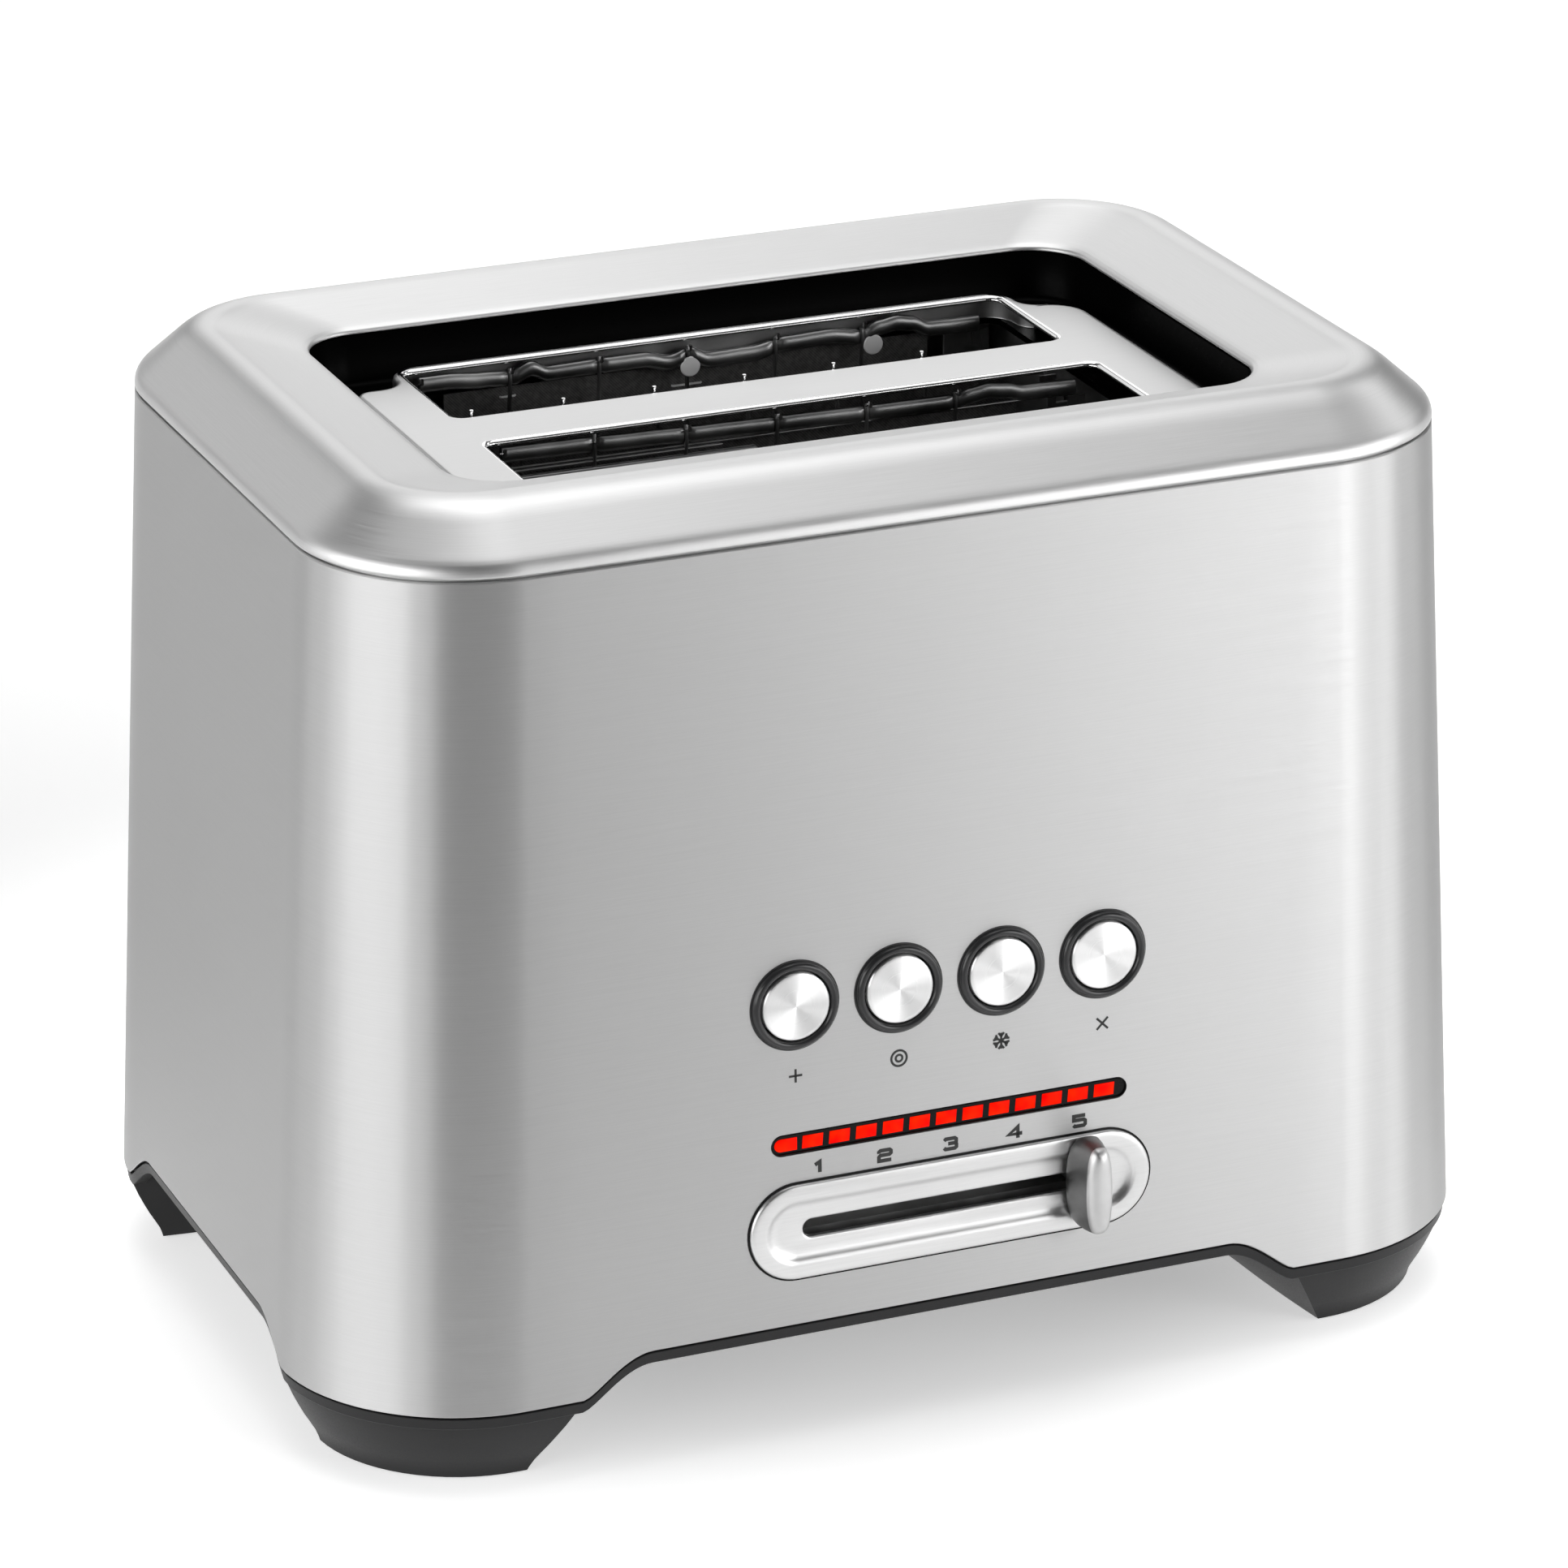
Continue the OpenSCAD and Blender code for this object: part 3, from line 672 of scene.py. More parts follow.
def spline(stations, steps):
    """Points between stations on a smooth curve through them (Catmull-Rom)."""
    out = []
    for i in range(len(stations) - 1):
        p0 = stations[max(i - 1, 0)]
        p1, p2 = stations[i], stations[i + 1]
        p3 = stations[min(i + 2, len(stations) - 1)]
        for s in range(steps):
            t = s / steps
            out.append(tuple(
                0.5 * (2 * b + (c - a) * t + (2 * a - 5 * b + 4 * c - d) * t ** 2
                       + (3 * b - a - 3 * c + d) * t ** 3)
                for a, b, c, d in zip(p0, p1, p2, p3)))
    out.append(tuple(stations[-1]))
    return out


def band(inset, z):
    return (SEAM_HALF_X - inset, SEAM_HALF_Y - inset, SEAM_R - inset, z)


def opening(grow, z):
    return (OPENING_HALF_X + grow, OPENING_HALF_Y + grow, OPENING_R + grow, z)


# inset and height over the seam: a short lip, a flat chamfer and a soft crest
LIP = [(1.3, 0.6), (0.6, 0.6), (0.2, 0.7), (0.0, 0.95), (0.0, 1.3)]
BEND = [(0.0, 1.3), (0.08, 1.9), (0.35, 2.7), (0.85, 3.5), (1.5, 4.2)]
CREST = [(8.6, 10.45), (9.8, 11.4), (11.0, 12.2), (12.2, 12.8), (13.4, 13.2), (14.7, 13.45), (16.0, 13.5),
         (17.3, 13.35), (18.6, 13.0)]


def between(start, end):
    return [tuple(mix(a, b, t) for a, b in zip(start, end)) for t in (0.1, 0.5, 0.9)]


def build_cap():
    outside = [band(inset, SEAM_Z + up) for inset, up in LIP + spline(BEND, 3)[1:]]
    crest = [band(inset, SEAM_Z + up) for inset, up in spline(CREST, 3)]
    rim = spline([opening(1.5, RIM_Z + 0.45), opening(0.9, RIM_Z + 0.2), opening(0.3, RIM_Z - 0.1),
                  opening(0, RIM_Z - 0.55)], 3)
    chamfer, slope = between(outside[-1], crest[0]), between(crest[-1], rim[0])
    inside = [opening(0, RIM_Z - 0.9), opening(0.3, RIM_Z - 1.1), opening(3.5, RIM_Z - 1.2),
              band(9, SEAM_Z + 6), band(3.9, SEAM_Z + 2.4), band(3.9, SEAM_Z - 3.5), band(1.3, SEAM_Z - 3.5)]
    stations = outside + chamfer + crest + slope + rim + inside
    rows = [ring(*s[:3], s[3], corner=24) for s in stations]
    make("cap", loft(rows, around=True), "cap_metal", ["top_cap"], sharp=50)


def build_liner():
    floor_z = box_mm("well_liner")[0].z
    slots_y = SLOT_OFFSET + SLOT_HALF_Y
    stations = [opening(0.9, RIM_Z - 1.25), opening(1.6, RIM_Z - 1.4), opening(1.6, floor_z + 0.4),
                opening(1.2, floor_z), (SLOT_HALF_X + 1.2, slots_y + 2.8, 3, floor_z),
                (SLOT_HALF_X + 1.2, slots_y + 2.8, 3, floor_z + 1.5), opening(-2.5, floor_z + 1.5),
                opening(-1.0, floor_z + 1.9), opening(-0.1, floor_z + 3.0), opening(0.2, RIM_Z - 1.6)]
    rows = [ring(*s[:3], s[3], corner=16) for s in stations]
    make("liner", loft(rows, around=True), "liner_black", ["well_liner"], sharp=50)


def plate_outline(grow):
    """The plate's outline. Its ends stand out past the slots, and stop short of its rear side."""
    hx, hy, r = SLOT_HALF_X + 3 + grow, SLOT_OFFSET + SLOT_HALF_Y + 3 + grow, 7 + grow
    ear_x, ear_y, fillet = 84.6 + grow, 33.4 + grow, 5 - grow
    arc = [pi / 2 * i / 10 for i in range(11)]
    sides = []
    for ear_r in (9 + grow, 3.5 + grow):
        rear = [(ear_x - ear_r + ear_r * cos(a), ear_y - ear_r + ear_r * sin(a)) for a in arc]
        rear += [(hx + fillet - fillet * sin(a), ear_y + fillet - fillet * cos(a)) for a in arc]
        rear += [(hx - r + r * cos(a), hy - r + r * sin(a)) for a in arc]
        sides.append(rear)
    front = [(ear_x - r + r * cos(a), -(hy - r + r * sin(a))) for a in arc]
    right, left = sides
    return (right + [(-x, y) for x, y in reversed(left)] + [(-x, y) for x, y in front]
            + list(reversed(front)))


def flat_with_holes(outline, holes, z):
    """A level face with holes, as bmesh geometry filled between its edges."""
    work = bmesh.new()
    for loop in [outline] + holes:
        verts = [work.verts.new((x, y, z)) for x, y in loop]
        for i, v in enumerate(verts):
            work.edges.new((v, verts[(i + 1) % len(verts)]))
    bmesh.ops.triangle_fill(work, use_beauty=True, edges=work.edges)
    work.verts.index_update()
    points = [tuple(v.co) for v in work.verts]
    faces = [tuple(v.index for v in f.verts) for f in work.faces]
    work.free()
    return points, faces, [[points[i][:2] for i in f] for f in faces]


def slot_lip(side):
    """The polished edge of one slot, from the plate's face down into the slot."""
    z = PLATE_Z
    stations = [(1.5, z), (1.1, z), (0.6, z - 0.1), (0.2, z - 0.4), (0.0, z - 0.75), (0.0, z - 1.05),
                (0.2, z - 1.2), (0.5, z - 1.1), (0.8, z - 0.8)]
    rows = [[(x, y + side * SLOT_OFFSET, h) for x, y, h in
             ring(SLOT_HALF_X + g, SLOT_HALF_Y + g, SLOT_R + g, h, corner=8)] for g, h in stations]
    return loft(rows[::-1])


def build_slot_plate():
    z = PLATE_Z
    skirt = [[(x, y, h) for x, y in plate_outline(g)]
             for g, h in ((-0.25, 195.6), (0, 195.6), (0, z - 1.2), (-0.15, z - 0.55), (-0.5, z - 0.16),
                          (-1.0, z), (-1.5, z))]
    hole = ring_points(SLOT_HALF_X + 1.5, SLOT_HALF_Y + 1.5, SLOT_R + 1.5, corner=8)
    top_holes = [[(x, y + s * SLOT_OFFSET) for x, y in hole] for s in (-1, 1)]
    top = flat_with_holes(plate_outline(-1.5), top_holes, z)
    plate = make("slot_plate", join(loft(skirt), top, slot_lip(-1), slot_lip(1)), "plate_steel",
                 ["slot_plate"], sharp=60)
    # the slot lips take the bright polished steel, which is partly painted highlight
    plate.data.materials.append(POLISHED_AND_HIGHLIGHT)
    for face in plate.data.polygons:
        high = face.center.z / MM
        if z - 3 < high < z - 0.02 and abs(face.center.x / MM) < SLOT_HALF_X + 1.2:
            face.material_index = 1


# ---------- base ----------


def foot_outline(z, inset, taper_x, taper_y, square):
    """One foot's outline at a height, in the quadrant where x and y are positive.
    square is how far its inner side keeps to its slanted inner corner."""
    slant = 5 + 0.75 * z
    level = max(z, EDGE_Z)
    hx, hy, r = half_x(level) - inset, half_y(level) - inset, corner_r(level) - inset
    x0, y0 = ARCH_FOOT_X + taper_x, ARCH_FOOT_Y + taper_y
    start = asin(max(0.0, (y0 - hy + r) / r))
    arc = [mix(start, pi / 2, i / 16) for i in range(17)]
    points = [(hx - r + r * cos(a), hy - r + r * sin(a)) for a in arc]
    first, last = Vector((points[0][0], y0)), Vector(points[-1])
    points[0] = tuple(first)
    points += [(mix(last.x, x0, t), hy) for t in (0.5, 1.0)]
    end = Vector((x0, hy))
    inner = Vector((x0 - slant, y0 - slant))
    for i in range(1, 16):
        t = i / 16
        round_in = end * (1 - t) ** 2 + inner * 2 * t * (1 - t) + first * t ** 2
        corner = mix(end, inner, t * 2) if t < 0.5 else mix(inner, first, t * 2 - 1)
        points.append(tuple(mix(round_in, corner, square)))
    return [(x, y, z) for x, y in points]


# height, inset from the shell, how far the inner sides stand in along x and y, squareness
FOOT_ROWS = [(0.3, 8.1, 10.4, 1.0, 0.85), (0.45, 7.65, 10.2, 0.6, 0.85), (1.2, 7.5, 9.8, 0.4, 0.85),
             (3.0, 6.85, 8.8, 0.2, 0.85), (5.0, 5.75, 7.6, 0, 0.8), (7.0, 4.6, 6.4, 0, 0.8),
             (9.5, 3.35, 4.9, 0, 0.75), (12.0, 2.2, 3.4, 0, 0.7), (14.8, 1.1, 1.8, 0, 0.7),
             (17.0, 0.55, 0.5, 0, 0.7), (17.3, 0.75, 0.3, 0, 0.7), (17.35, 1.6, 0, 0, 0.7),
             (20.0, 1.6, -3.5, -3.5, 0.6), (22.0, 2.6, -7.5, -7.5, 0.6), (23.2, 3.6, -11, -11, 0.6),
             (24.5, 4.0, -15, -15, 0.6)]


def build_feet():
    points, faces, uvs = solid([foot_outline(*row) for row in FOOT_ROWS])
    feet = [([(x * mx, y * my, z) for x, y, z in points], faces, uvs) for mx in (1, -1) for my in (1, -1)]
    make("feet", join(*feet), "base_plastic", ["corner_feet"], sharp=40)


def build_flange():
    """The base's flange, which follows the shell's lower edge a thin dark gap below it."""
    stations = [(1.0, 1.5), (-0.55, 1.5), (-0.6, 0.6), (-0.75, 0.5), (-2.9, 0.85), (-3.1, 1.05), (-3.1, 4.0),
                (1.0, 4.0)]
    rows = [shell_row(EDGE_Z + z, inset, 1) for z, inset in stations]
    flange = make("base_flange", loft(rows, around=True), "base_plastic", sharp=40)
    cut(flange, tray_way())


def tray_way():
    """The opening that the crumb tray slides through."""
    low, high = box_mm("crumb_tray")
    return block(low.x - 0.5, high.x + 0.5, 60, 120, low.z - 0.3, 40), None


def build_base():
    """The base moulding, with a vented floor inside its walls."""
    low = box_mm("base_moulding")[0].z
    hx, hy, r = half_x(WALL_LEVEL), half_y(WALL_LEVEL), corner_r(WALL_LEVEL)
    stations = [(3.5, low + 0.6), (3.4, low + 0.5), (2.2, low + 0.5), (2.0, low + 0.9),
                (2.0, BASE_TOP - 0.5), (2.1, BASE_TOP), (3.1, BASE_TOP), (3.5, BASE_TOP - 0.5),
                (3.5, FLOOR_HIGH)]
    rows = [ring(hx - g, hy - g, r - g, z, corner=20) for g, z in stations]
    under = [ring(hx - 3.5, hy - 3.5, r - 3.5, z, corner=20) for z in (low + 0.6, FLOOR_LOW)]
    vents = vent_holes()
    cover = flat_with_holes([p[:2] for p in under[1]], vents, FLOOR_LOW)
    inner = flat_with_holes([p[:2] for p in rows[-1]], vents, FLOOR_HIGH)
    walls = [loft([[(x, y, z) for x, y in hole] for z in (FLOOR_LOW, FLOOR_HIGH)]) for hole in vents]
    shape = join(loft(rows), loft(under), cover, inner, *walls)
    base = make("base", shape, "base_plastic", ["base_moulding"], sharp=40)
    cut(base, tray_way())


def vent_holes():
    slots = [[(x + b, -72 + a) for a, b, _ in stadium_ring(14, 4, 0, 8)] for x in range(-50, 51, 10)]
    corners = [(sx * 82, sy * 42) for sx in (-1, 1) for sy in (-1, 1)]
    return slots + [[(cx + x, cy + y) for x, y, _ in circle_ring(4, 0, 24)] for cx, cy in corners]


PAD_PROFILE = [(5.9, 0.0), (6.6, 0.25), (6.9, 0.9), (6.9, 3.0)]


def build_pads():
    pad = solid(turned(PAD_PROFILE, 40))
    low, high = box_mm("foot_pads")
    reach = PAD_PROFILE[-1][0]
    pads = [placed(pad, Matrix.Translation(Vector((x, y, 0)) * MM))
            for x in (low.x + reach, high.x - reach) for y in (low.y + reach, high.y - reach)]
    make("pads", join(*pads), "pad_rubber", ["foot_pads"])


# ---------- controls ----------


RING_PROFILE = [(7.8, -3), (7.8, 0.3), (7.95, 0.85), (8.25, 1.2), (8.7, 1.35), (9.15, 1.25), (9.5, 0.9),
                (9.65, 0.4), (9.68, 0.16), (10.0, 0.16), (10.05, 0.02), (8.9, 0.0), (8.9, -3)]
BUTTON_PROFILE = [(0.05, -2), (7.5, -2), (7.5, 0.7), (7.4, 1.0), (7.1, 1.15), (6.5, 1.15), (3.0, 1.07),
                  (0.05, 1.03)]
STEM_PROFILE = [(0.05, -4.6), (3, -4.6), (3, -1.9), (0.05, -1.9)]


def build_buttons():
    rings = []
    for x, name in zip(BUTTON_X, ("extend_button", "bagel_button", "frozen_button", "cancel_button")):
        place = front_place(x, BUTTON_Z)
        rings.append(placed(loft(turned(RING_PROFILE, 96), around=True), place))
        cap = join(solid(turned(BUTTON_PROFILE, 96)), solid(turned(STEM_PROFILE, 40)))
        make(name + "_cap", cap, "button_metal", [name], name, place, sharp=50)
    make("rings", join(*rings), "ring_gloss", ["button_rings"], sharp=60)


def build_light_bar():
    place = front_place(PANEL_X, BAR_Z)
    stations = [(0, -4.0), (0, 0.06), (-0.15, 0.14), (-0.45, 0.14), (-0.6, 0.0), (-0.6, -0.3)]
    rim = loft([stadium_ring(BAR_LENGTH + g, BAR_HEIGHT + g, z) for g, z in stations], start=True)
    rows = [stadium_ring(BAR_LENGTH - 0.6, BAR_HEIGHT - 0.6, -0.3), stadium_ring(BAR_LENGTH - 4, 0.3, -0.3)]
    make("light_window", join(rim, loft(rows, end=True)), "window_black", ["light_bar_window"], place=place)
    cells = []
    for i in range(CELL_COUNT):
        middle = FIRST_CELL + i * CELL_STEP
        outline = slanted(CELL_HALF, CELL_HALF_H, 0.12) if i else rounded_left(CELL_HALF + 0.25, CELL_HALF_H)
        stations = [(1.0, -3.0), (1.0, -0.2), (0.97, -0.12), (0.92, -0.08)]
        rows = [[(middle + x * mix(1, s, 0.6), y * s, z) for x, y in outline] for s, z in stations]
        cells.append(solid(rows))
    make("light_guides", join(*cells), "light_red", ["light_cells"], place=place, sharp=50)


def rounded_left(half, half_h):
    arc = [pi / 2 + pi * i / 12 for i in range(13)]
    points = [(half, -half_h), (half, half_h)]
    return points + [(-half + half_h + half_h * cos(a), half_h * sin(a)) for a in arc]


def slanted(half, half_h, lean_x):
    return [(-half - lean_x, -half_h), (half - lean_x, -half_h), (half + lean_x, half_h),
            (-half + lean_x, half_h)]


def build_slider_plate():
    """The dished plate round the slider's slot, on a thin black rim that paints the shadow in the gap round
    it as its outline.
    """
    place = front_place(PANEL_X, SLIDER_Z)
    dish = [(0.6, -1.6), (0.6, 0.0), (0.35, 0.0), (0.35, 0.5), (0.55, 0.8), (0.95, 0.95), (1.6, 1.0),
            (3.5, 0.98), (4.0, 0.88), (4.6, 0.5), (5.2, 0.1), (5.9, -0.12), (7.2, -0.22)]
    slot = [(68.6, 5.2, -0.25), (67.8, 4.4, -0.35), (67.4, 4.0, -0.7), (67.4, 4.0, -1.6)]
    shadow_rim = [(-1.5, 0.03), (0.25, 0.03), (0.25, 0.16), (-0.4, 0.22), (-1.5, 0.22)]
    rows = [stadium_ring(SLIDER_LENGTH - 2 * g, SLIDER_HEIGHT - 2 * g, z, 28) for g, z in dish]
    rows += [stadium_ring(*station, 28) for station in slot]
    make("slider_trim", loft(rows, around=True), "slider_metal", ["slider_plate"], place=place, sharp=60)
    # a black rim just past the plate's edge: painted shadow in the gap round the plate
    rows = [stadium_ring(SLIDER_LENGTH + g, SLIDER_HEIGHT + g, z, 28) for g, z in shadow_rim]
    make("slider_painted_shadow_rim", loft(rows, around=True), "window_black", place=place, sharp=60)


def build_slider_knob():
    """A paddle that flares towards the plate, bright on its rounded front. Its sides take a darker copy of
    the same metal as painted shade.
    """
    place = front_place(KNOB_X + 0.5, SLIDER_Z + 0.8)
    sides = [(1.2, 4.3, 9.2), (1.8, 4.5, 9.9), (3.0, 4.3, 10.3), (5.0, 3.8, 10.4), (7.0, 3.3, 10.2),
             (8.6, 2.95, 9.9)]
    front = [(8.9, 2.9, 9.8), (9.4, 2.7, 9.5), (9.85, 2.35, 9.05), (10.2, 1.8, 8.4), (10.42, 1.1, 7.6),
             (10.5, 0.4, 6.8)]
    rows = [[(half * rounded(cos(t), 0.62), tall * rounded(sin(t), 0.85), out)
             for t in turns(72)] for out, half, tall in sides + front]
    stem = block(-1.6, 1.6, -2.0, 0.4, -9, 2)
    knob = make("slider_grip", join(solid(rows), stem), "knob_metal", ["slider_knob"], "slider_knob",
                place, sharp=60)
    # the knob's sides take the darker copy of its metal, as painted shade
    knob.data.materials.append(KNOB_SIDE_PAINTED_SHADE)
    for face in knob.data.polygons:
        if face.center.z / MM < sides[-1][0]:
            face.material_index = 1


def rounded(value, power):
    """Keeps a value's sign, and raises its size to a power, for a fuller oval."""
    return copysign(abs(value) ** power, value)


def build_lever_knob():
    """An upright oval disc with softly rounded rims."""
    low, high = box_mm("lever_knob")
    middle, half = (low + high) / 2, (high - low) / 2
    rim = [(-1.0, 0.01), (-1.0, 0.62), (-0.985, 0.76), (-0.96, 0.87), (-0.92, 0.95), (-0.86, 1.0)]
    rim += [(-s, k) for s, k in reversed(rim)]
    rows = [[(middle.x + half.x * k * cos(t), half.y * s, middle.z + half.z * k * sin(t))
             for t in turns(56)] for s, k in rim]
    make("lever_grip", solid(rows), "knob_metal", ["lever_knob"], "carriage_set", sharp=50)


def build_lever_bezel():
    """Raised trim round the lever slot, following the leaning end wall."""
    low, high = box_mm("lever_bezel")
    half_h = (high.z - low.z) / 2
    middle = (high.z + low.z) / 2
    rows = []
    for half, shrink, out in ((7.5, 0, 0.02), (7.5, 0, 0.6), (7.1, 0.4, 0.95), (6.2, 1.3, 1.0),
                              (3.7, 5.0, 1.0), (3.1, 5.6, 0.8), (3.0, 5.7, 0.02)):
        outline = ring_points(half, half_h - shrink, min(2.8, half * 0.37), corner=8)
        rows.append([(half_x(middle + up) + out, y, middle + up) for y, up in outline])
    make("lever_trim", loft(rows, around=True), "trim_plastic", ["lever_bezel"], sharp=50)


# ---------- markings ----------

NUMERALS = {
    "1": [[(-1.0, 0.75), (0.15, 1.45), (0.15, -1.5)]],
    "2": [[(-1.45, 0.7), (-1.45, 1.1), (-1.1, 1.45), (1.1, 1.45), (1.45, 1.1), (1.45, 0.45), (1.1, 0.1),
           (-1.1, 0.1), (-1.45, -0.3), (-1.45, -1.45), (1.5, -1.45)]],
    "3": [[(-1.45, 1.0), (-1.1, 1.45), (1.1, 1.45), (1.45, 1.1), (1.45, 0.4), (1.15, 0.05), (-0.5, 0.05)],
          [(1.15, 0.05), (1.5, -0.35), (1.5, -1.1), (1.15, -1.45), (-1.15, -1.45), (-1.5, -1.0)]],
    "4": [[(1.75, -0.5), (-1.6, -0.5), (0.7, 1.5), (0.7, -1.75)]],
    "5": [[(1.45, 1.45), (-1.35, 1.45), (-1.35, 0.25), (1.1, 0.25), (1.45, -0.1), (1.45, -1.1), (1.1, -1.45),
           (-1.1, -1.45), (-1.45, -1.05)]],
}


def build_numerals():
    """The browning scale's numbers, from 1 to 5."""
    shapes = []
    for index, strokes in enumerate(NUMERALS.values()):
        place = front_place(NUMERAL_X + NUMERAL_STEP * index, NUMERAL_Z)
        for stroke in strokes:
            flat = ribbon([Vector((x * 0.95, y * 0.8)) for x, y in stroke], 0.84, 0.05)
            shapes.append(placed(flat, place))
    make("numerals", join(*shapes), "trim_plastic", material=MARKING)


def build_pictograms():
    """Small generic signs under the buttons: more, a bagel, a snowflake and stop."""
    more = [[(-1.5, 0), (1.5, 0)], [(0, -1.5), (0, 1.5)]]
    loops = [[(r * cos(t), r * sin(t)) for t in turns(28)] for r in (1.75, 0.75)]
    flake = []
    for a in (0, 60, 120):
        direction = Vector((sin(radians(a)), cos(radians(a))))
        flake.append([tuple(direction * -1.8), tuple(direction * 1.8)])
        for end in (-1, 1):
            tip = direction * 1.8 * end
            joint = direction * 1.0 * end
            side = Vector((direction.y, -direction.x)) * 0.65
            flake.append([tuple(tip + side), tuple(joint), tuple(tip - side)])
    stop = [[(-1.3, -1.3), (1.3, 1.3)], [(-1.3, 1.3), (1.3, -1.3)]]
    shapes = []
    for x, strokes, closed in zip(BUTTON_X, (more, loops, flake, stop), (False, True, False, False)):
        place = front_place(x, SIGN_Z)
        for stroke in strokes:
            flat = ribbon([Vector(p) for p in stroke], 0.5, 0.05, closed)
            shapes.append(placed(flat, place))
    make("pictograms", join(*shapes), "trim_plastic", material=MARKING)


# ---------- guards ----------

WIRE_STEP = 20.85
WIRE_X = [-45.35 + WIRE_STEP * i for i in range(5)]
RAIL_END = 66.3
RAIL_SHIFT = 0.35
REAR_RAIL = [(-67, 197.5), (-60, 197.5), (-52, 196.8), (-45, 196.4), (-40.4, 198.0), (-36.5, 196.4),
             (-24, 196.6), (-14, 196.6), (-8, 195.3), (-3.3, 196.5), (1.5, 194.7), (11.6, 194.9),
             (20, 196.2), (30, 196.5), (38, 195.4), (42, 197.1), (46.3, 197.7), (50, 197.1), (54, 195.4),
             (60, 195.2), (67, 195.2)]
FRONT_RAIL = [(-67, 197.5), (-51, 197.3), (-36, 196.9), (-20, 196.5), (0, 196.2), (20, 195.9),
              (37.9, 195.8), (41.5, 196.8), (45.5, 197.4), (50, 196.9), (54, 195.9), (67, 195.6)]
LEVEL_RAIL = [(-67, 195.8), (0, 195.8), (67, 195.8)]
# middle, half width and half thickness, from one height to another: the lower rail, and at
# each end an upright bar, what is left of the flat strip, and two tabs
END_BARS = [(68, 1, 0.4, 45, 193.5), (67, 2, 0.3, 190.2, 193.6), (72.5, 4.5, 0.5, 184, 187),
            (72.5, 4.5, 0.5, 50, 53)]
GUARD_BARS = [(0, 69, 0.3, 44.5, 48)] + [(end * x, *rest) for end in (-1, 1) for x, *rest in END_BARS]


def height_at(line, x):
    """Height of a bent rail's middle at x, rounded between its given points."""
    for (x0, z0), (x1, z1) in zip(line, line[1:]):
        if x <= x1:
            return mix(z0, z1, smooth((x - x0) / (x1 - x0)))
    return line[-1][1]


def guard_rail(y, line):
    """The pressed top rail, pinched flat where each wire crosses it."""
    rows = []
    steps = 160
    for i in range(steps + 1):
        x = mix(-RAIL_END, RAIL_END, i / steps)
        near = min(abs(x - w) for w in WIRE_X)
        thick = mix(0.35, 1.15, smooth((near - 0.5) / 0.8))
        tall = mix(1.5, 1.85, smooth((near - 0.5) / 0.8))
        z = height_at(line, x)
        rows.append([(x, y + thick * cos(t), z + tall * sin(t)) for t in turns(16)])
    return solid(rows)


def build_guard(node, side, line, low_rods=()):
    """A bread guard: bent top rail, lower rail, end bars, tabs and wires.
    side is +1 where the bread lies towards +Y."""
    y = middle_mm(node).y
    parts = [guard_rail(y + side * RAIL_SHIFT, line)]
    for x, half_width, half_t, low, high in GUARD_BARS:
        parts.append(block(x - half_width, x + half_width, y - half_t, y + half_t, low, high))
    for x in WIRE_X:
        z = height_at(line, x)
        parts.append(tube([(x, y, 46), (x, y, 120), (x, y, 190), (x, y + side * 0.75, z - 1),
                           (x, y + side * 0.75, z + 1), (x, y + side * 0.4, z + 2.2)], 0.5, 8))
    for x0, x1, z, r in low_rods:
        ends = [(0, 0.2), (0.3, 0.7), (0.9, 1.0)]
        stations = [(x0 + a, k) for a, k in ends] + [(x1 - a, k) for a, k in reversed(ends)]
        rows = [[(x, y + side * 0.4 + r * k * cos(t), z + r * k * sin(t)) for t in turns(12)]
                for x, k in stations]
        parts.append(solid(rows))
    make(node + "_frame", join(*parts), "guard_steel", [node], node, sharp=45)


def build_tips(node, side, z, reach, drop):
    """The cut ends of a guard's wires, in polished steel made extra bright as painted highlight, which lean
    out from the rail towards the bread.
    They clear the slot plate's lip when the guards open."""
    middle = middle_mm(node).y
    rail, y = middle + side * RAIL_SHIFT, middle + side * reach
    tips = []
    for x in [WIRE_X[0] - WIRE_STEP] + WIRE_X:
        tips.append(tube([(x, rail, z - drop), (x, y, z - 0.6 * drop), (x, y, z)], 0.42, 10))
    make(node + "_tips", join(*tips), "screw_steel", body=node, material=POLISHED_AND_HIGHLIGHT)


def build_guards():
    build_guard("guard_front_outer", 1, LEVEL_RAIL)
    build_guard("guard_front_inner", -1, FRONT_RAIL,
                [(-68, -8, 191.4, 0.9), (-68, -16, 193.4, 0.35), (-68, 66, 194.2, 0.3)])
    build_guard("guard_rear_inner", 1, LEVEL_RAIL)
    build_guard("guard_rear_outer", -1, REAR_RAIL)
    build_tips("guard_front_outer", 1, 201.7, 2.25, 5.0)
    build_tips("guard_rear_inner", 1, 201.9, 2.7, 5.0)
    build_tips("guard_front_inner", -1, 199.3, 2.7, 1.8)
    build_tips("guard_rear_outer", -1, 199.3, 2.2, 1.8)


def build_return_spring():
    """The lever's spring, a coil baked into place and tied to no body."""
    low, high = box_mm("return_spring")
    middle = (low + high) / 2
    wire_r = 0.6
    coil_r = (high.x - low.x) / 2 - wire_r
    coils, steps = 12, 24
    path = []
    for i in range(coils * steps + 1):
        t = 2 * pi * i / steps
        path.append((middle.x + coil_r * cos(t), middle.y - coil_r * sin(t),
                     mix(low.z + wire_r, high.z - wire_r, i / (coils * steps))))
    spring = make("spring_coil", tube(path, wire_r), "spring_steel", ["return_spring"], body=None)
    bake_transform(spring)


